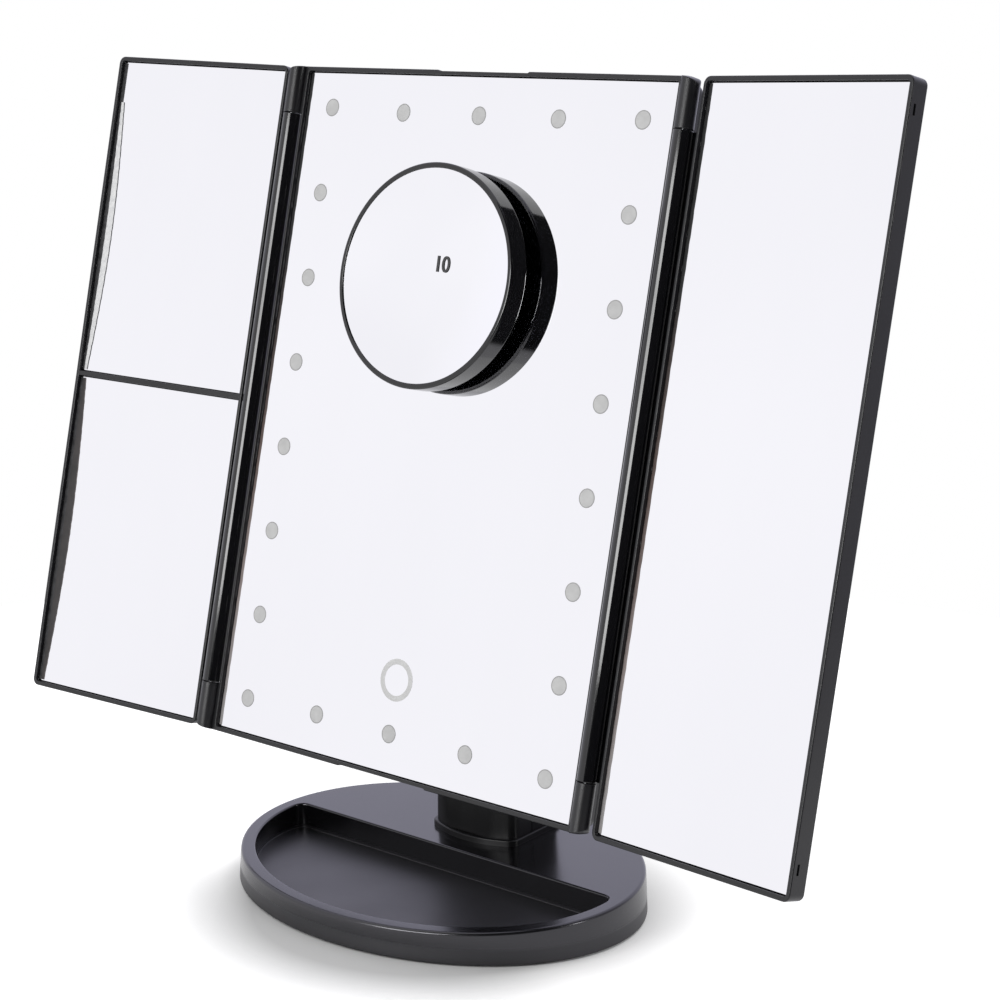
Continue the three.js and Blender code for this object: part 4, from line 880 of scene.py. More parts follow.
def board_green():
    """Solder mask with a faint pattern of tracks."""
    finish = Finish("Board green")
    greens = {"Color1": (0.05, 0.17, 0.09), "Color2": (0.06, 0.20, 0.11), "Mortar": (0.04, 0.13, 0.07)}
    tracks = finish.node("TexBrick", Vector=finish.place, Scale=180, **greens)
    grain = finish.noise(800, 2)
    finish.set(Base_Color=tracks.outputs["Color"], Roughness=finish.spread(grain, 0.3, 0.45))
    finish.bump((grain, 0.00001, 0.3))
    return finish.material


def clear_vinyl():
    """Soft clear suction cup."""
    colours, cloud = ((0.60, 0.62, 0.64), (0.72, 0.74, 0.76)), (300, 2)
    return grained("Clear vinyl", colours, cloud, cloud, (0.12, 0.25), 0.00001, 0.3, IOR=1.42, Alpha=0.55)


MAKERS = {
    "frame_black": frame_black,
    "base_black": base_black,
    "gloss_black": gloss_black,
    "neck_black": neck_black,
    "inner_black": lambda: moulded("Inner black", (0.030, 0.030, 0.032), (0.55, 0.7), 1500, 0.00004),
    "pad_rubber": rubber,
    "ballast_steel": lambda: steel("Ballast steel", (0.42, 0.43, 0.44), (0.4, 0.6)),
    "screw_steel": lambda: steel("Screw steel", sizes("finish").steel),
    "contact_steel": lambda: steel("Contact steel", (0.66, 0.67, 0.69), (0.18, 0.3)),
    "mirror_silver": mirror_silver,
    "frosted_white": lambda: pale_plastic("Frosted white", (0.80, 0.80, 0.78)),
    "strip_white": lambda: pale_plastic("Strip white", (0.78, 0.78, 0.74)),
    "board_green": board_green,
    "touch_brass": lambda: steel("Touch foil", (0.70, 0.55, 0.30), (0.25, 0.4)),
    "cell_metal": printed_sleeve,
    "cup_soft": clear_vinyl,
    "etched": etched_glass,
    "painted_window_shade": painted_window_shade,
    "painted_lip_reflection": painted_lip_reflection,
    "chipped_glass": lambda: edge_glass("Chipped glass", (0.74, 0.74, 0.76), (1.0, 1.0, 1.0), 700),
    "stained_glass": lambda: edge_glass("Stained glass", (0.010, 0.009, 0.009), (0.045, 0.036, 0.036), 90),
    "worn_glass": lambda: edge_glass("Worn glass", (0.05, 0.04, 0.04), (0.13, 0.11, 0.11), 120),
    "painted_edge_shade": lambda: edge_glass("Painted edge shade", (0.006, 0.006, 0.007), (0.05, 0.05, 0.055), 420),
    "ring_grey": ring_grey,
    "number_ink": number_ink,
}


@functools.cache
def finish_for(name):
    """A finish by its name, made once."""
    return MAKERS[name]()


# Pieces of the stand


def base_top(y, drop=0.0):
    """Height of the base's sloping top, less a drop."""
    stand = sizes("stand")
    slope = (stand.rear_height - stand.front_height) / stand.depth
    return stand.front_height + slope * (y + stand.depth / 2) - drop


def make_base():
    """The oval base: skirt, leaning side, rounded rim and the half-moon tray."""
    stand = sizes("stand")
    a, b = stand.width / 2, stand.depth / 2
    tray = tray_outline()
    angles = oval_angles(tray(0), -0.35 * b, a, b)

    def oval(inset, height):
        ring = [((a - inset) * math.cos(t), (b - inset) * math.sin(t)) for t in angles]
        return [(x, y, height(y)) for x, y in ring]

    skirt, wall, inside, lead = stand.skirt_rise, 2.2 * MM, 3.1 * MM, 0.3 * MM
    foot = [(wall, inside), (wall, skirt + lead), (wall - lead, skirt), (0.4 * MM, skirt)]
    foot += [(0.1 * MM, skirt + 0.15 * MM), (0, skirt + 0.5 * MM)]
    loops = [oval(inset, lambda y: height) for inset, height in foot]
    for part in (0.2, 0.4, 0.6, 0.8):
        loops.append(oval(stand.draft * part, lambda y: skirt + part * (base_top(y) - skirt)))
    for s, c in quarter(6):
        loops.append(oval(stand.draft + stand.edge * c, lambda y: base_top(y, stand.edge * s)))
    for s, c in quarter(6):
        loops.append([(x, y, base_top(y, stand.tray_edge * c)) for x, y in tray(-stand.tray_edge * s)])
    for s, c in quarter(6):
        height = stand.tray_floor + stand.tray_fillet * s
        loops.append([(x, y, height) for x, y in tray(stand.tray_fillet * c)])
    shell = Shell()
    shell.rings(loops)
    return even_normals(shell.build("base_shell", sharp=50))


def neck_solid():
    """The neck: its plan kept inside its side view."""
    stand = sizes("stand")
    foot, half = stand.neck_foot, stand.neck_width
    plan = Shell()
    plan.wall(neck_outline(), [(0, foot), (0, stand.pivot_z + 2 * stand.barrel)])
    head = arc((stand.pivot_y, stand.pivot_z), stand.barrel, 0, math.pi, 32)
    side = [(stand.neck_rear, foot - MM), *head, (stand.neck_front, foot - MM)]
    view = Shell()
    view.rings([[(x, y, z) for y, z in side] for x in (-half, half)])
    return combined("neck", plan.build("plan"), ("INTERSECT", view.build("side")))


def block_object(x, y, z, place=None):
    """A plain helper block for cutting."""
    shell = Shell(place)
    loops = [[(x[0], y[0], h), (x[1], y[0], h), (x[1], y[1], h), (x[0], y[1], h)] for h in z]
    shell.rings(loops)
    return shell.build("helper")


def make_neck():
    """Front and rear shells of the neck with the fine seam between them."""
    stand = sizes("stand")
    wide, middle = stand.neck_width, stand.pivot_y
    below = stand.pivot_z - stand.barrel
    front_room = block_object((-wide, wide), (-wide, middle - stand.seam), (0, below - stand.seam))
    front = combined("neck_front_shell", neck_solid(), ("INTERSECT", front_room))
    rear_cut = block_object((-wide, wide), (-wide, middle), (-MM, below))
    rear = combined("neck_rear_shell", neck_solid(), ("DIFFERENCE", rear_cut))
    return [eased(piece, 0.5 * MM, 3, 30) for piece in (front, rear)]


def make_collar():
    """The thin step round the foot of the neck, lying on the sloping top."""
    stand = sizes("stand")
    width, height, edge = stand.collar_width, stand.collar_height, 0.45 * MM
    sunk = (0.25 * MM, -0.4 * MM)
    rounded = [(edge * c - width, height - edge * s) for s, c in quarter(4)]
    profile = [sunk, (-width, sunk[1]), *rounded, (sunk[0], height)]
    outline = neck_outline()
    loops = [[(x, y, base_top(y, -rise)) for x, y in outline(inset)] for inset, rise in profile]
    shell = Shell()
    shell.rings(loops, closed=True)
    return even_normals(shell.build("neck_collar_ring", sharp=50))


# Pieces of the head


def head_outline():
    """Outer outline of the centre panel, with a shallow notch in each end."""
    head = sizes("head")
    width, height = 2 * frame_half_width(), 2 * frame_half_height()
    notch = (head.notch_width / 2, head.notch_depth)
    return rect_outline(width, height, head.frame_corner, notch=notch)


def add_lipped_frame(shell, outline, glass, low, high, seat, ledge):
    """A frame round a mirror: rounded outside, rounded lip, and the ledge behind the mirror."""
    edge, lip = 0.4 * MM, 0.3 * MM
    inner = [(-lip * s, high - lip * c) for s, c in quarter(3)]
    inner += [(0, seat), (ledge, seat), (ledge, low)]
    steps = [(outline, step) for step in rounded_profile(low, high, edge, edge, 3)]
    steps += [(glass, step) for step in inner]
    loops = [[(x, y, h) for x, y in shape(inset)] for shape, (inset, h) in steps]
    shell.rings(loops, closed=True)


def knuckle_section(inset):
    """A knuckle across its axis, joined to the frame's side."""
    wing, head = sizes("wing"), sizes("head")
    radius = wing.barrel - inset
    hair, overlap = 0.01 * MM, 0.6 * MM
    front = head.proud - inset + hair
    reach = math.asin((front - wing.hinge_w) / radius)
    root = frame_half_width() - overlap
    bow = arc((wing.hinge_u, wing.hinge_w), radius, math.pi - reach, -math.pi / 2, 40)
    return [(root, front), *bow, (root, wing.hinge_w - radius)]


def knuckle_end(u, w):
    """Height of a knuckle's end: level with the frame, then falling away outwards and forwards."""
    wing = sizes("wing")
    widest = wing.hinge_u + wing.barrel
    bend, forward_fall = 6 * MM, 0.5 * MM
    out = min(max((u - widest + bend) / bend, 0), 1)
    forward = max(w - sizes("head").proud, 0) / wing.barrel
    fall = wing.knuckle_fall * (1 - math.sqrt(1 - out * out))
    return frame_half_height() - fall - forward_fall * forward


def add_knuckle(shell, side, end):
    """One of the frame's knuckles, flush with the lip, its outer end rounded off."""
    wing = sizes("wing")
    low = frame_half_height() - wing.knuckle + wing.gap
    edge, foot, foot_edge = 0.35 * MM, 2 * MM, 0.25 * MM
    loops = []
    for inset, v in rounded_profile(low, low + foot, foot_edge, 0, 3)[:5]:
        loops.append([(side * u, end * v, w) for u, w in knuckle_section(inset)])
    for s, c in quarter(4):
        section = knuckle_section(edge * c)
        loops.append([(side * u, end * (knuckle_end(u, w) - edge * s), w) for u, w in section])
    centre = (wing.hinge_u - 0.5 * MM, wing.hinge_w - 0.5 * MM)
    for shrink in (0.8, 0.6, 0.4, 0.2, 0.05):
        ring = [[m + shrink * (p - m) for m, p in zip(centre, point)] for point in section]
        loops.append([(side * u, end * knuckle_end(u, w), w) for u, w in ring])
    shell.rings(loops)


def make_head_frame():
    """The centre panel's frame with its four hinge knuckles."""
    head = sizes("head")
    shell = Shell(head_place())
    width, height = head.glass_width + 2 * PLAY, head.glass_height + 2 * PLAY
    glass = rect_outline(width, height, head.glass_corner, notch=(head.notch_width / 2, 0))
    seat, ledge = -head.glass_thickness - PLAY, 3.3 * MM
    add_lipped_frame(shell, head_outline(), glass, -head.frame_depth, head.proud, seat, ledge)
    for side, end in ((-1, -1), (-1, 1), (1, -1), (1, 1)):
        add_knuckle(shell, side, end)
    return even_normals(shell.build("head_frame_shell", sharp=40))


def housing_holes():
    """Openings in the housing's back: each an outline, the face it starts from and its depth."""
    head = sizes("head")
    half_w, half_h = frame_half_width(), frame_half_height()
    width, height = head.door_width + 2 * PLAY, head.door_height + 2 * PLAY
    door_corner, door_deep = 2 * MM, head.door_thickness + 0.4 * MM
    door = rect_outline(width, height, door_corner, (0, head.box_centre))
    holes = [(door, head.box_back, door_deep)]
    well, well_deep = head.screw_head + 0.45 * MM, 2.2 * MM
    for side in (-1, 1):
        for row in (-1, 0, 1):
            place = (side * (half_w - head.screw_side), row * (half_h - head.screw_end))
            holes.append((disc_outline(well, place, 32), head.back, well_deep))
    knob = (head.switch_u + head.switch_travel / 2, head.switch_v)
    knob_length, slot_height, slot_corner, slot_deep = 5.6 * MM, 4.2 * MM, 0.5 * MM, 2.6 * MM
    slot = rect_outline(knob_length + head.switch_travel, slot_height, slot_corner, knob)
    inlet_width, inlet_height, inlet_corner, inlet_deep = 8.2 * MM, 3.6 * MM, 1.2 * MM, 5 * MM
    inlet = rect_outline(inlet_width, inlet_height, inlet_corner, (head.switch_u, head.socket_v))
    return holes + [(slot, head.back, slot_deep), (inlet, head.back, inlet_deep)]


def make_head_cover():
    """Rear housing: dished shell, battery box, hinge ears and the openings in its back."""
    head = sizes("head")
    step = 0.3 * MM
    width, height = 2 * (frame_half_width() - step), 2 * (frame_half_height() - step)
    front, front_edge = -head.frame_depth - head.seam, 0.2 * MM
    body = Shell()
    outline = rect_outline(width, height, head.cover_corner)
    body.wall(outline, rounded_profile(-head.back, front, head.bevel, front_edge, 6))
    box = Shell()
    box_corner, box_edge, overlap = 3.5 * MM, 1.5 * MM, MM
    outline = rect_outline(head.box_width, head.box_height, box_corner, (0, head.box_centre))
    box.wall(outline, rounded_profile(-head.box_back, overlap - head.back, box_edge, 0, 4))
    shapes = [("UNION", thing) for thing in (box.build("box"), make_ear(-1), make_ear(1))]
    for outline, face, depth in housing_holes():
        shapes.append(("DIFFERENCE", prism(outline, -face - MM, -face + depth)))
    hinge = Matrix.Translation((0, -head.pivot_below, -head.pivot_behind))
    across = hinge @ Matrix.Rotation(math.pi / 2, 4, "Y")
    reach, radius = 40 * MM, 3.3 * MM
    bore = Shell()
    bore.turned([(0, -reach), (radius, -reach), (radius, reach), (0, reach)], 32, across)
    shapes.append(("DIFFERENCE", bore.build("bore")))
    cover = combined("head_cover_shell", body.build("cover"), *shapes)
    cover.data.transform(head_place())
    return even_normals(smoothed(cover, 32))


def prism(outline, low, high):
    """A plain helper prism for cutting."""
    shell = Shell()
    shell.wall(outline, [(0, low), (0, high)])
    return shell.build("helper")


def make_ear(side):
    """One ear of the tilt hinge, its edges rounded."""
    head = sizes("head")
    v, w = -head.pivot_below, -head.pivot_behind
    root = MM - head.back

    def section(inset):
        half = head.ear_root / 2 - inset
        bow = arc((v, w), sizes("stand").barrel - inset, math.pi, 2 * math.pi, 24)
        return [(v - half, root), *bow, (v + half, root)]

    inside, inner_edge, outer_edge = head.ear_inside, 0.3 * MM, MM
    profile = rounded_profile(inside, inside + head.ear_thickness, inner_edge, outer_edge, 4)
    shell = Shell()
    shell.rings([[(side * x, p, q) for p, q in section(inset)] for inset, x in profile])
    return shell.build("ear")


def make_door():
    """The battery door's plate."""
    head = sizes("head")
    shell = Shell(head_place())
    corner, rear_edge, front_edge = 1.7 * MM, 0.35 * MM, 0.1 * MM
    outline = rect_outline(head.door_width, head.door_height, corner, (0, head.box_centre))
    low = -head.box_back
    shell.wall(outline, rounded_profile(low, low + head.door_thickness, rear_edge, front_edge, 3))
    return even_normals(shell.build("battery_door_plate", sharp=40))


def plate(name, width, height, centre, top, thickness, place):
    """A flat mirror with fine rounded edges."""
    shell = Shell(place)
    outline = rect_outline(width, height, sizes("head").glass_corner, centre, steps=5)
    shell.wall(outline, rounded_profile(top - thickness, top, 0.1 * MM, 0.1 * MM, 2))
    thing = shell.build(name, sharp=5)
    for polygon in thing.data.polygons:
        polygon.use_smooth = False
    return thing


def side_band(name, edge, rows, face, near, far, place, bows=(0.0, 0.0), layer=0):
    """A thin uneven band beside a mirror's left edge; bows swell its two sides towards its middle."""
    sunk, film, film_step = 0.05 * MM, 0.02, 0.012
    low, high = face - sunk, face + (film + film_step * layer) * MM
    waver, steps = 0.05 * MM, 90
    loops = []
    for i in range(steps + 1):
        uneven = waver * (math.sin(2.9 * i) + math.sin(1.3 * i + 1))
        swell = math.sin(math.pi * i / steps)
        first = edge + near + bows[0] * swell + uneven
        last = edge + far + bows[1] * swell + uneven
        v = rows[0] + (rows[1] - rows[0]) * i / steps
        loops.append([(first, v, low), (last, v, low), (last, v, high), (first, v, high)])
    shell = Shell(place)
    shell.rings(loops)
    return shell.build(name, sharp=20)


# Repeated details


class Tree(Nodes):
    """A Geometry Nodes tree with named inputs."""

    prefix = "GeometryNode"

    def __init__(self, name):
        self.group = bpy.data.node_groups.new(name, "GeometryNodeTree")
        super().__init__(self.group)
        self.group.interface.new_socket("Geometry", in_out="OUTPUT", socket_type="NodeSocketGeometry")
        self.start = self.nodes.new("NodeGroupInput")
        self.end = self.nodes.new("NodeGroupOutput")
        self.values = {}

    def input(self, label, value, kind="NodeSocketFloat"):
        """Adds a named input and remembers the value that it is given."""
        socket = self.group.interface.new_socket(label, in_out="INPUT", socket_type=kind)
        self.values[socket.identifier] = value
        return self.start.outputs[label]

    def vector(self, x=0.0, y=0.0, z=0.0):
        """Joins three numbers or sockets into one vector."""
        return self.node("ShaderNodeCombineXYZ", X=x, Y=y, Z=z).outputs["Vector"]

    def line(self, number, start, step):
        """Points in a row."""
        ends = {"Start_Location": self.vector(*start), "Offset": self.vector(*step)}
        return self.node("MeshLine", {"mode": "OFFSET"}, Count=number, **ends).outputs["Mesh"]

    def disc(self, sides, radius, depth):
        """A round disc or bar."""
        filled = {"fill_type": "NGON"}
        node = self.node("MeshCylinder", filled, Vertices=sides, Radius=radius, Depth=depth)
        return node.outputs["Mesh"]

    def run(self, name, points, piece, finish, place, turned=(0.0, 0.0, 0.0)):
        """Repeats a piece at points, evaluates the tree once and keeps a plain mesh in its place."""
        spots = self.node("InstanceOnPoints", Points=points, Instance=piece, Rotation=turned)
        real = self.node("RealizeInstances", Geometry=spots.outputs["Instances"])
        paint = self.node("SetMaterial", Geometry=real.outputs["Geometry"], Material=finish_for(finish))
        self.links.new(paint.outputs["Geometry"], self.end.inputs["Geometry"])
        seed = placed("seed", bpy.data.meshes.new("seed"))
        modifier = seed.modifiers.new("Repeat", "NODES")
        modifier.node_group = self.group
        for identifier, value in self.values.items():
            modifier[identifier] = value
        result = baked(seed, name)
        discard(seed)
        result.data.transform(place)
        return result


def lamp_field(name, radius, thickness, height, finish):
    """Discs in two columns and two shorter rows round the centre mirror."""
    head, light = sizes("head"), sizes("light")
    tree = Tree("Lamp field")
    column_u = tree.input("Column", head.glass_width / 2 - light.side_margin)
    row_v = tree.input("Row", head.glass_height / 2 - light.end_margin)
    inset = tree.input("Row inset", light.row_inset)
    disc_radius = tree.input("Radius", radius)
    disc_thickness = tree.input("Thickness", thickness)
    per_side = tree.input("Per side", light.per_side, "NodeSocketInt")
    per_row = tree.input("Per row", light.per_row - 2, "NodeSocketInt")
    high, wide = (tree.reckon("MULTIPLY", half, 2.0) for half in (row_v, column_u))
    step_v = tree.reckon("DIVIDE", high, tree.reckon("SUBTRACT", per_side, 1.0))
    step_u = tree.reckon("DIVIDE", wide, tree.reckon("ADD", per_row, 1.0))
    low_v = tree.reckon("MULTIPLY", row_v, -1.0)
    first_u = tree.reckon("SUBTRACT", step_u, column_u)
    join = tree.node("JoinGeometry")
    for side in (-1.0, 1.0):
        u = tree.reckon("MULTIPLY", column_u, side)
        v = tree.reckon("MULTIPLY", tree.reckon("SUBTRACT", row_v, inset), side)
        column = tree.line(per_side, (u, low_v, 0.0), (0.0, step_v, 0.0))
        row = tree.line(per_row, (first_u, v, 0.0), (step_u, 0.0, 0.0))
        for points in (column, row):
            tree.feed(join.inputs["Geometry"], points)
    disc = tree.disc(48, disc_radius, disc_thickness)
    place = head_place() @ Matrix.Translation((0, 0, height))
    return tree.run(name, join.outputs["Geometry"], disc, finish, place)


def make_windows():
    """Frosted lamp windows: a darker disc that shows as a rim of painted shade, and a paler one on it."""
    light = sizes("light")
    film = light.film
    shade_discs = lamp_field("lamp_shade_discs", light.radius, film, film / 2, "painted_window_shade")
    panes = lamp_field("lamp_panes", light.radius - light.rim, film, film, "etched")
    return shade_discs, panes


def make_ring():
    """The touch ring on the centre mirror."""
    head, light = sizes("head"), sizes("light")
    centre = (0, light.ring_above_edge - head.glass_height / 2)
    low, high, shoulder = 0.01 * MM, light.film, light.film * 0.7
    edge, stroke = 0.05 * MM, light.ring_stroke
    outside = [(0, low), (0, shoulder), (edge, high)]
    profile = outside + [(stroke - inset, h) for inset, h in reversed(outside)]
    shell = Shell(head_place())
    shell.wall(disc_outline(light.ring_radius, centre, 72), profile, closed=True)
    return shell.build("touch_ring", sharp=30)


def make_screw_heads():
    """The housing's six screws with their crossed slots."""
    head = sizes("head")
    tree = Tree("Housing screws")
    half_u = tree.input("Across", frame_half_width() - head.screw_side)
    half_v = tree.input("Up", frame_half_height() - head.screw_end)
    radius = tree.input("Radius", head.screw_head)
    depth = tree.input("Depth", 1.3 * MM)
    wide, high = (tree.reckon("MULTIPLY", half, 2.0) for half in (half_u, half_v))
    grid = tree.node("MeshGrid", Size_X=wide, Size_Y=high, Vertices_X=2, Vertices_Y=3)
    cut = tree.node("MeshBoolean", {"operation": "DIFFERENCE", "solver": "EXACT"})
    tree.feed(cut.inputs["Mesh 1"], tree.disc(32, radius, depth))
    drop = tree.vector(z=tree.reckon("MULTIPLY", depth, -0.55))
    slot_long, slot_wide = (tree.reckon("MULTIPLY", radius, part) for part in (1.25, 0.32))
    for x, y in ((slot_long, slot_wide), (slot_wide, slot_long)):
        bar = tree.node("MeshCube", Size=tree.vector(x, y, depth))
        lowered = tree.node("Transform", Geometry=bar.outputs["Mesh"], Translation=drop)
        tree.feed(cut.inputs["Mesh 2"], lowered.outputs["Geometry"])
    place = head_place() @ Matrix.Translation((0, 0, -head.back + 1.6 * MM))
    heads = cut.outputs["Mesh"]
    return tree.run("housing_screw_heads", grid.outputs["Mesh"], heads, "screw_steel", place)


def make_grip():
    """Grip ribs across the top of the battery door."""
    head = sizes("head")
    tree = Tree("Door grip")
    number = tree.input("Ribs", 6, "NodeSocketInt")
    pitch = tree.input("Pitch", 2.2 * MM)
    width = tree.input("Width", 18 * MM)
    radius = tree.input("Radius", 0.55 * MM)
    below_top = 16 * MM
    first = head.box_centre + head.door_height / 2 - below_top
    points = tree.line(number, (0.0, first, -head.box_back), (0.0, pitch, 0.0))
    bar = tree.disc(16, radius, width)
    across = (0.0, math.pi / 2, 0.0)
    ribs = tree.run("battery_door_ribs", points, bar, "frame_black", head_place(), across)
    for polygon in ribs.data.polygons:
        polygon.use_smooth = len(polygon.vertices) == 4
    return ribs


# Pieces of the wings


def wing_span(side, start, end):
    """A stretch of a wing measured from its hinge axis."""
    return sorted((side * start, side * end))


def wing_rows(split):
    """Heights of the wing's mirrors: one, or two with the bar between them."""
    head, wing = sizes("head"), sizes("wing")
    end = head.glass_height / 2
    if not split:
        return [(-end, end)]
    half = wing.bar / 2 + PLAY
    return [(wing.bar_v + half, end), (-end, wing.bar_v - half)]


def wing_faces():
    """Front and rear face of a wing, out from its hinge axis."""
    wing = sizes("wing")
    front = sizes("head").proud - wing.hinge_w
    return front, front - wing.depth


def slotted(border, name, side):
    """A wing's border with the two small slots in its outer side."""
    wing = sizes("wing")
    front, _ = wing_faces()
    cutters = []
    for end in (-1, 1):
        u = wing_span(side, wing.reach - wing.slot_depth, wing.reach + MM)
        v = (end * wing.slot_v - wing.slot_length / 2, end * wing.slot_v + wing.slot_length / 2)
        w = (front - wing.slot_behind - wing.slot_width, front - wing.slot_behind)
        cutters.append(("DIFFERENCE", block_object(u, v, w, wing_place(side))))
    return combined(name, border, *cutters)


def wing_bars(side, split, inner, seat):
    """The web beside a wing's barrel, and the bar between its two mirrors if it is split."""
    wing = sizes("wing")
    place = wing_place(side)
    front, back = wing_faces()
    rounding, overlap, below_lip, inset = 0.3 * MM, 0.3 * MM, 0.1 * MM, 0.6 * MM
    shell = Shell(place)
    if split:
        across = (inner[0] - overlap, inner[1] + overlap)
        bar = (wing.bar_v - wing.bar / 2, wing.bar_v + wing.bar / 2)
        turned = place @ Matrix.Rotation(math.pi / 2, 4, "Y")
        shell.block((-(front - below_lip), -seat), bar, across, rounding, place=turned)
    web = wing_span(side, 0.5 * MM, wing.start + inset)
    half = frame_half_height() - wing.knuckle
    shell.block(web, (-half, half), (back + inset, front - wing.web_drop), rounding)
    return shell.build("extra")


def make_wing_frame(side, word, split):
    """A wing's frame: rounded border, ledge behind the mirror and the web to the barrel."""
    wing = sizes("wing")
    front, back = wing_faces()
    middle = side * (wing.start + wing.reach) / 2
    width = wing.reach - wing.start
    shell = Shell(wing_place(side))
    outline = rect_outline(width, 2 * frame_half_height(), wing.corner, (middle, 0), steps=6)
    inner = wing_span(side, wing.start + wing.inner_lip, wing.reach - wing.outer_lip)
    height = sizes("head").glass_height + 2 * PLAY
    corner, ledge = 0.8 * MM, 2.5 * MM
    glass = rect_outline(inner[1] - inner[0], height, corner, (sum(inner) / 2, 0), steps=6)
    seat = -wing.hinge_w - wing.glass - PLAY
    add_lipped_frame(shell, outline, glass, back, front, seat, ledge)
    cut = slotted(shell.build(f"{word}_wing_ring"), f"{word}_wing_cut", side)
    whole = joined(f"{word}_wing_border", cut, wing_bars(side, split, inner, seat))
    return even_normals(smoothed(whole, 40))


def make_barrel(side, word):
    """The wing's long polished hinge barrel."""
    wing = sizes("wing")
    half, edge = frame_half_height() - wing.knuckle, 0.3 * MM
    wall = [(wing.barrel - inset, h) for inset, h in rounded_profile(-half, half, edge, edge, 3)]
    upright = wing_place(side) @ Matrix.Rotation(-math.pi / 2, 4, "X")
    shell = Shell()
    shell.turned([(0, -half), *wall, (0, half)], 64, upright)
    return even_normals(shell.build(f"{word}_wing_barrel", sharp=40))


def wing_glass_place(side, row):
    """Width, height, middle and face of one of a wing's mirrors."""
    wing = sizes("wing")
    gap = 0.1 * MM
    u = wing_span(side, wing.start + wing.inner_lip + gap, wing.reach - wing.outer_lip - gap)
    return u[1] - u[0], row[1] - row[0], (sum(u) / 2, sum(row) / 2), -wing.hinge_w


def wing_bands(label, edge, row, face, place):
    """The bands beside a wing mirror's left edge, with their finishes: a painted reflection of the lip on
    the right wing; painted shade, chips, stain and worn glass on the left wing.
    """
    wing = sizes("wing")
    low, high = row[0] + BAND_SHORT, row[1] - BAND_SHORT
    bow = wing.band_bow
    # Each band: its word, its finish, its lower and upper ends, its near and far sides and their bows.
    if label.startswith("right"):
        # The right wing's band is a painted reflection of the frame's lip.
        bands = [("side", "painted_lip_reflection", low, high, 0, sizes("head").lip_reflection, (0, 0))]
    elif label.startswith("left_lower"):
        # The shade band is painted shade beside the lip.
        bands = [
            ("shade", "painted_edge_shade", low, high, 0, 1.1 * MM, (0, 0.5 * MM)),
            ("stain", "stained_glass", low, high, 1.1 * MM, 2.2 * MM, (0.5 * MM, bow)),
            ("side", "worn_glass", low, high, 2.2 * MM, 2.6 * MM, (bow, bow)),
        ]
    else:
        top = high - wing.chip_drop
        # The shade, line and corner bands are painted shade beside the lip.
        bands = [
            ("shade", "painted_edge_shade", low, top, 0, 0.9 * MM, (0, MM)),
            ("chips", "chipped_glass", low, top, 0.9 * MM, 2.1 * MM, (MM, bow)),
            ("line", "painted_edge_shade", low, top, 2.1 * MM, 2.5 * MM, (bow, bow)),
            ("corner", "painted_edge_shade", top, high, 0, 1.7 * MM, (0, 0)),
        ]
    return [
        (side_band(f"{label}_{word}", edge, (start, end), face, near, far, place, bows, layer), finish)
        for layer, (word, finish, start, end, near, far, bows) in enumerate(bands)
    ]


# Pieces of the spot mirror


def spot_place():
    """From the spot mirror's own axes to the room."""
    spot = sizes("spot")
    return head_place() @ Matrix.Translation((spot.across, spot.up, 0))


def make_spot_shell():
    """The spot mirror's round shell: polished wall, rounded rim and the seat of the glass."""
    spot = sizes("spot")
    low, high = spot.standoff, spot.standoff + spot.height
    edge, rear, lip, room = 0.7 * MM, 1.2 * MM, 0.3 * MM, 0.6 * MM
    inner, seat = spot.radius - spot.rim, high - spot.drop - spot.glass - room
    profile = [(0, low)]
    profile += [(spot.radius - rear * s, low + rear * c) for s, c in quarter(5)]
    profile += [(spot.radius - edge * c, high - edge * s) for s, c in quarter(5)]
    profile += [(inner + lip * s, high - lip * c) for s, c in quarter(3)]
    profile += [(inner, seat), (0, seat - spot.sag)]
    shell = Shell()
    shell.turned(profile, 128, spot_place())
    return even_normals(shell.build("spot_mirror_shell", sharp=40))


def spot_depth(radius, edge):
    """How far the concave face lies below its edge."""
    return sizes("spot").sag * (1 - (radius / edge) ** 2)


def make_spot_glass():
    """The concave magnifying glass."""
    spot = sizes("spot")
    edge = spot.radius - spot.rim - 0.1 * MM
    rim = spot.standoff + spot.height - spot.drop
    rings = 40
    face = [edge * i / rings for i in range(rings + 1)]
    profile = [(r, rim - spot.glass - spot_depth(r, edge)) for r in face]
    profile += [(r, rim - spot_depth(r, edge)) for r in reversed(face)]
    shell = Shell()
    shell.turned(profile, 128, spot_place())
    return shell.build("spot_mirror_glass", sharp=40)


def make_number():
    """The plain number in the middle of the spot mirror."""
    spot = sizes("spot")
    writing = bpy.data.curves.new("number", "FONT")
    writing.body = "10"
    writing.size = spot.number_height
    writing.align_x = "CENTER"
    writing.align_y = "CENTER"
    writing.extrude = 0.02 * MM
    writing.offset = 0.12 * MM
    writing.space_character = 0.95
    text = placed("number", writing)
    result = baked(text, "spot_mirror_number")
    discard(text)
    rim = spot.standoff + spot.height - spot.drop
    away = math.hypot(spot.number_across, spot.number_up)
    clear_of_glass = 0.25 * MM
    height = rim - spot_depth(away, spot.radius - spot.rim) + clear_of_glass
    lean = 2 * spot.sag / (spot.radius - spot.rim) ** 2
    tip = Matrix.Rotation(-lean * spot.number_across, 4, "Y")
    tip @= Matrix.Rotation(lean * spot.number_up, 4, "X")
    middle = Matrix.Translation((spot.number_across, spot.number_up, height))
    result.data.transform(spot_place() @ middle @ tip)
    return result


# The studio


def heading(turn_by, rise):
    """A direction from the mirror, turned from its front to its right and raised."""
    flat = math.cos(rise)
    return Vector((flat * math.sin(turn_by), -flat * math.cos(turn_by), math.sin(rise)))


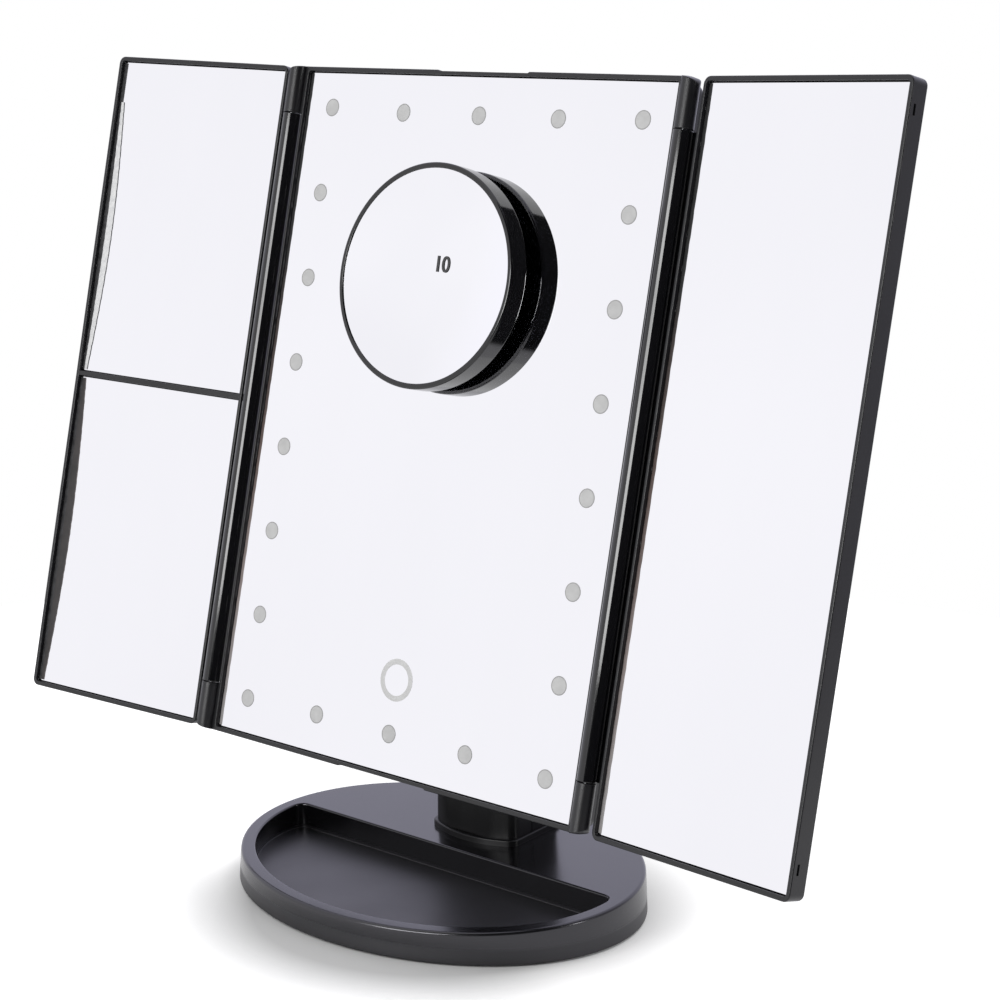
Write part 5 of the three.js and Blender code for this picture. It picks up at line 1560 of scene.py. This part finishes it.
class Backdrop(Nodes):
    """The world's node tree."""

    def __init__(self):
        world = bpy.data.worlds.new("Studio")
        bpy.context.scene.world = world
        world.use_nodes = True
        super().__init__(world.node_tree)
        self.nodes.clear()
        self.where = self.node("TexCoord").outputs["Generated"]

    def light(self, colour, strength=1.0):
        """Light of one colour."""
        return self.node("Background", Color=colour, Strength=strength).outputs["Background"]

    def towards(self, direction, far, near, soft=False):
        """How far the view points along a direction, from 0 at one cosine to 1 at another."""
        along = self.reckon("DOT_PRODUCT", self.where, direction, kind="VectorMath")
        return self.spread(along, 0.0, 1.0, far, near, soft)


def make_world():
    """White for the camera, a pale studio for mirrors, with a dark side for gloss, and even light."""
    studio = sizes("studio")
    backdrop = Backdrop()
    path = backdrop.node("LightPath").outputs
    kept = backdrop.reckon("SUBTRACT", 1.0, backdrop.past_mirror(path))
    behind = [studio.rear_gain * part for part in studio.rear_tone]
    ends = backdrop.blend(backdrop.towards((0, 1, 0), -0.6, 0.6), studio.front_tone, behind)
    rightward = backdrop.reckon("MULTIPLY", kept, backdrop.towards((1, 0, 0), 0.2, 0.7))
    pale = backdrop.blend(rightward, ends, studio.right_tone)
    cloud = backdrop.node("TexNoise", Vector=backdrop.where, Scale=1.7, Detail=2.0)
    drifting = backdrop.spread(cloud.outputs["Fac"], 0.0, 0.09, 0.35, 0.65)
    uneven = backdrop.blend(drifting, pale, studio.cloud_tone)
    middle = heading(studio.dark_turn, studio.dark_rise)
    outer, inner = math.cos(studio.dark_outer), math.cos(studio.dark_inner)
    dark = backdrop.reckon("MULTIPLY", backdrop.towards(middle, outer, inner, soft=True), kept)
    around = backdrop.light(backdrop.blend(dark, uneven, studio.dark_tone))
    lit = backdrop.either(path["Is Glossy Ray"], backdrop.light((1, 1, 1), studio.ambient), around)
    seen = backdrop.either(backdrop.straight(path), lit, backdrop.light((1, 1, 1)))
    backdrop.node("OutputWorld", Surface=seen)
    bpy.context.scene.world.cycles.sampling_method = "NONE"


def shade_oval(finish):
    """How many times the base's outline, as the camera sees it, a place on the floor lies away; this
    places the floor's painted shadow.
    """
    stand, studio = sizes("stand"), sizes("studio")
    a, b = stand.width / 2, stand.depth / 2
    sine, cosine = math.sin(studio.camera_turn), math.cos(studio.camera_turn)
    middle = (studio.shade_shift * sine, -studio.shade_shift * cosine, 0)
    reach = (math.hypot(a * cosine, b * sine), math.hypot(a * sine, b * cosine), 1)
    fitted = {"Location": middle, "Rotation": (0, 0, studio.camera_turn), "Scale": reach}
    oval = finish.node("Mapping", {"vector_type": "TEXTURE"}, Vector=finish.place, **fitted)
    return finish.reckon("LENGTH", oval.outputs["Vector"], kind="VectorMath")


def make_floor():
    """A round pale floor that keeps the shadow, with a painted shadow round the base: darker floor colour
    near the base, white away from the mirror.
    """
    studio = sizes("studio")
    shell = Shell()
    shell.wall(disc_outline(studio.floor_reach, (0, 0), 96), [(0, -10 * MM), (0, 0)])
    floor = shell.build("floor")
    finish = Finish("Floor", Roughness=0.9, Specular_IOR_Level=0.0, Emission_Color=studio.front_tone)
    path = finish.node("LightPath").outputs
    # Painted shadow: inside this oval round the base the floor keeps its darker tone, outside it turns
    # white.
    clear = finish.spread(shade_oval(finish), 0.0, 1.0, 0.90, studio.shade_reach)
    white = finish.reckon("MULTIPLY", finish.straight(path), clear)
    mirrored = finish.reckon("MULTIPLY", path["Is Glossy Ray"], clear)
    plain = finish.ramp(finish.noise(3, 2), *drift(studio.floor_tone, 0.995, 1))
    colour = finish.blend(mirrored, finish.blend(white, plain, (1, 1, 1)), (0, 0, 0))
    lifted = finish.reckon("MULTIPLY", white, studio.floor_glow)
    finish.set(Base_Color=colour, Emission_Strength=finish.reckon("ADD", lifted, mirrored))
    floor.data.materials.append(finish.material)


def aimed(turn_by, rise, distance):
    """A place at a distance from the mirror's middle, and the turn that faces it."""
    away = heading(math.radians(turn_by), math.radians(rise))
    return Vector((0, 0, AIM_HEIGHT)) + distance * away, away.to_track_quat("Z", "Y")


def make_lamp(name, turn_by, rise, distance, width, height, glow):
    """A soft box that doesn't show in gloss; glow is its brightness beside white."""
    data = bpy.data.lights.new(name, "AREA")
    data.shape = "RECTANGLE"
    data.size, data.size_y = width, height
    data.energy = glow * math.pi * width * height
    lamp = placed(name, data)
    middle, turned = aimed(turn_by, rise, distance)
    lamp.location = middle
    lamp.rotation_euler = turned.to_euler()
    lamp.visible_camera = False
    lamp.visible_glossy = False


def panel_glow(name, glow):
    """A glow that straight rays off a clear mirror pass through."""
    material = bpy.data.materials.new(name)
    material.use_nodes = True
    tree = Nodes(material.node_tree)
    tree.nodes.clear()
    shine = tree.node("Emission", Strength=glow).outputs["Emission"]
    unseen = tree.node("BsdfTransparent").outputs["BSDF"]
    past = tree.past_mirror(tree.node("LightPath").outputs)
    tree.node("OutputMaterial", Surface=tree.either(past, shine, unseen))
    return material


def make_panel(name, turn_by, rise, distance, width, height, glow, flat=False):
    """A bright panel that shows in gloss alone and not in the clear mirrors; it may lie flat."""
    middle, facing = aimed(turn_by, rise, distance)
    turned = Matrix.Identity(4) if flat else facing.to_matrix().to_4x4()
    corners = [(x * width / 2, y * height / 2, 0) for x, y in ((-1, -1), (1, -1), (1, 1), (-1, 1))]
    mesh = bpy.data.meshes.new(name)
    mesh.from_pydata(corners, [], [(0, 1, 2, 3)])
    mesh.transform(Matrix.Translation(middle) @ turned)
    mesh.materials.append(panel_glow(name, glow))
    panel = placed(name, mesh)
    panel.visible_camera = False
    panel.visible_diffuse = False
    panel.visible_transmission = False
    panel.visible_shadow = False


def make_camera():
    """The camera where the photo was taken from."""
    studio = sizes("studio")
    data = bpy.data.cameras.new("Camera")
    data.lens = studio.lens
    data.sensor_width = 36
    data.clip_start = 0.05
    data.clip_end = 50
    camera = placed("Camera", data)
    camera.location = (studio.camera_x, studio.camera_y, studio.camera_z)
    camera.rotation_euler = (math.pi / 2 - studio.camera_drop, 0, studio.camera_turn)
    bpy.context.scene.camera = camera


# Operators


class MIRROR_OT_stand(bpy.types.Operator):
    """Make the oval base, its tray, the neck and its collar"""

    bl_idname = "mirror.stand"
    bl_label = "Make Stand"

    def execute(self, context):
        settle(make_base(), "base_black", "stand", "base_black", "base_cover")
        front, rear = make_neck()
        settle(front, "neck_black", "stand", "gloss_black", "neck_front")
        settle(rear, "neck_black", "stand", "gloss_black", "neck_rear")
        settle(make_collar(), "neck_black", "stand", "gloss_black", "neck_collar")
        return {"FINISHED"}


class MIRROR_OT_head(bpy.types.Operator):
    """Make the centre panel: frame, mirror, housing and battery door"""

    bl_idname = "mirror.head"
    bl_label = "Make Centre Panel"

    def execute(self, context):
        head, place = sizes("head"), head_place()
        settle(make_head_frame(), "frame_black", "head", "frame_black", "head_frame")
        width, height = head.glass_width, head.glass_height
        mirror = plate("centre_mirror", width, height, (0, 0), 0, head.glass_thickness, place)
        settle(mirror, "mirror_silver", "head", "mirror_silver", "centre_glass")
        rows = (BAND_SHORT - height / 2, height / 2 - BAND_SHORT)
        # The band along the mirror's left side is a painted reflection of the frame's lip.
        band = side_band("centre_mirror_side", -width / 2, rows, 0, 0.1 * MM, head.lip_reflection, place)
        settle(band, "painted_lip_reflection", "head", "mirror_silver")
        settle(make_head_cover(), "frame_black", "head", "frame_black", "head_cover")
        settle(make_door(), "frame_black", "battery_door", "frame_black", "battery_door")
        return {"FINISHED"}


class MIRROR_OT_lights(bpy.types.Operator):
    """Make the lamp windows and the touch ring"""

    bl_idname = "mirror.lights"
    bl_label = "Make Lamp Windows"

    def execute(self, context):
        shade_discs, panes = make_windows()
        # The darker discs are painted shade round the lamp windows.
        settle(shade_discs, "painted_window_shade", "head", "frosted_white")
        settle(panes, "etched", "head", "frosted_white")
        settle(make_ring(), "ring_grey", "head", "frosted_white")
        return {"FINISHED"}


class MIRROR_OT_fittings(bpy.types.Operator):
    """Make the housing's screw heads and the grip ribs of the battery door"""

    bl_idname = "mirror.fittings"
    bl_label = "Make Fittings"

    def execute(self, context):
        settle(make_screw_heads(), "screw_steel", "head", "screw_steel")
        settle(make_grip(), "frame_black", "battery_door", "frame_black")
        return {"FINISHED"}


class MIRROR_OT_wings(bpy.types.Operator):
    """Make the two wings with their mirrors and hinge barrels"""

    bl_idname = "mirror.wings"
    bl_label = "Make Wings"

    def execute(self, context):
        for side, word, split in ((-1, "left", True), (1, "right", False)):
            body, place = f"{word}_wing", wing_place(side)
            border = make_wing_frame(side, word, split)
            settle(border, "frame_black", body, "frame_black", f"{word}_wing_frame")
            settle(make_barrel(side, word), "gloss_black", body, "gloss_black")
            names = ["left_upper_glass", "left_lower_glass"] if split else ["right_glass"]
            for name, row in zip(names, wing_rows(split)):
                label = name.replace("glass", "mirror")
                width, height, middle, face = wing_glass_place(side, row)
                mirror = plate(label, width, height, middle, face, sizes("wing").glass, place)
                settle(mirror, "mirror_silver", body, "mirror_silver", name)
                edge = middle[0] - width / 2
                for band, finish in wing_bands(label, edge, row, face, place):
                    settle(band, finish, body, "mirror_silver")
        return {"FINISHED"}


class MIRROR_OT_spot(bpy.types.Operator):
    """Make the round spot mirror with its number"""

    bl_idname = "mirror.spot"
    bl_label = "Make Spot Mirror"

    def execute(self, context):
        body = "spot_mirror"
        settle(make_spot_shell(), "gloss_black", body, "gloss_black", "spot_shell")
        settle(make_spot_glass(), "mirror_silver", body, "mirror_silver", "spot_glass")
        settle(make_number(), "number_ink", body, "gloss_black")
        return {"FINISHED"}


class MIRROR_OT_finishes(bpy.types.Operator):
    """Give every remaining CAD part its finish"""

    bl_idname = "mirror.finishes"
    bl_label = "Finish CAD Parts"

    def execute(self, context):
        for part in frame["record"]["subparts"]:
            node = frame["nodes"][part["node"]]
            material = finish_for(part["material_slot"])
            if node.data.materials:
                for index in range(len(node.data.materials)):
                    node.data.materials[index] = material
            else:
                node.data.materials.append(material)
        return {"FINISHED"}


class MIRROR_OT_stage(bpy.types.Operator):
    """Make the camera, the floor, the surroundings and the lamps"""

    bl_idname = "mirror.stage"
    bl_label = "Make Studio"

    def execute(self, context):
        context.scene.view_settings.view_transform = "Standard"
        make_camera()
        make_world()
        make_floor()
        make_lamp("Rear key", 170, 62, distance=2.4, width=1.3, height=1.3, glow=3.9)
        make_lamp("Front fill", -20, 35, distance=2.4, width=1.2, height=1.2, glow=3.0)
        make_panel("Front panel", 0, 14, distance=1.6, width=0.9, height=0.52, glow=9)
        make_panel("Front core", -4, 17, distance=1.55, width=0.75, height=0.12, glow=7)
        make_panel("Upper panel", -30, 60, distance=1.6, width=1.0, height=1.1, glow=1.05)
        make_panel("Low panel", -18, -20.2, distance=0.44, width=0.42, height=0.30, glow=1.2, flat=True)
        make_panel("Right strip", 96, 12, distance=1.6, width=0.12, height=0.7, glow=12)
        return {"FINISHED"}


class MIRROR_PT_tools(bpy.types.Panel):
    """Lists the steps that dress the mirror"""

    bl_label = "Makeup Mirror"
    bl_idname = "MIRROR_PT_tools"
    bl_space_type = "VIEW_3D"
    bl_region_type = "UI"
    bl_category = "Makeup Mirror"

    def draw(self, context):
        for step in STEPS:
            self.layout.operator(step.bl_idname)


STEPS = (
    MIRROR_OT_stage,
    MIRROR_OT_finishes,
    MIRROR_OT_stand,
    MIRROR_OT_head,
    MIRROR_OT_lights,
    MIRROR_OT_fittings,
    MIRROR_OT_wings,
    MIRROR_OT_spot,
)
GROUPS = {
    "mirror_stand": StandSizes,
    "mirror_head": HeadSizes,
    "mirror_light": LightSizes,
    "mirror_wing": WingSizes,
    "mirror_spot": SpotSizes,
    "mirror_finish": FinishColours,
    "mirror_studio": StudioSettings,
}


def register():
    for name, group in GROUPS.items():
        bpy.utils.register_class(group)
        setattr(bpy.types.Scene, name, bpy.props.PointerProperty(type=group))
    for step in STEPS:
        bpy.utils.register_class(step)
    bpy.utils.register_class(MIRROR_PT_tools)


def unregister():
    bpy.utils.unregister_class(MIRROR_PT_tools)
    for step in reversed(STEPS):
        bpy.utils.unregister_class(step)
    for name, group in reversed(list(GROUPS.items())):
        delattr(bpy.types.Scene, name)
        bpy.utils.unregister_class(group)


def main():
    """Runs every step in order."""
    register()
    for step in STEPS:
        _, name = step.bl_idname.split(".")
        getattr(bpy.ops.mirror, name)()


if __name__ == "__main__":
    main()
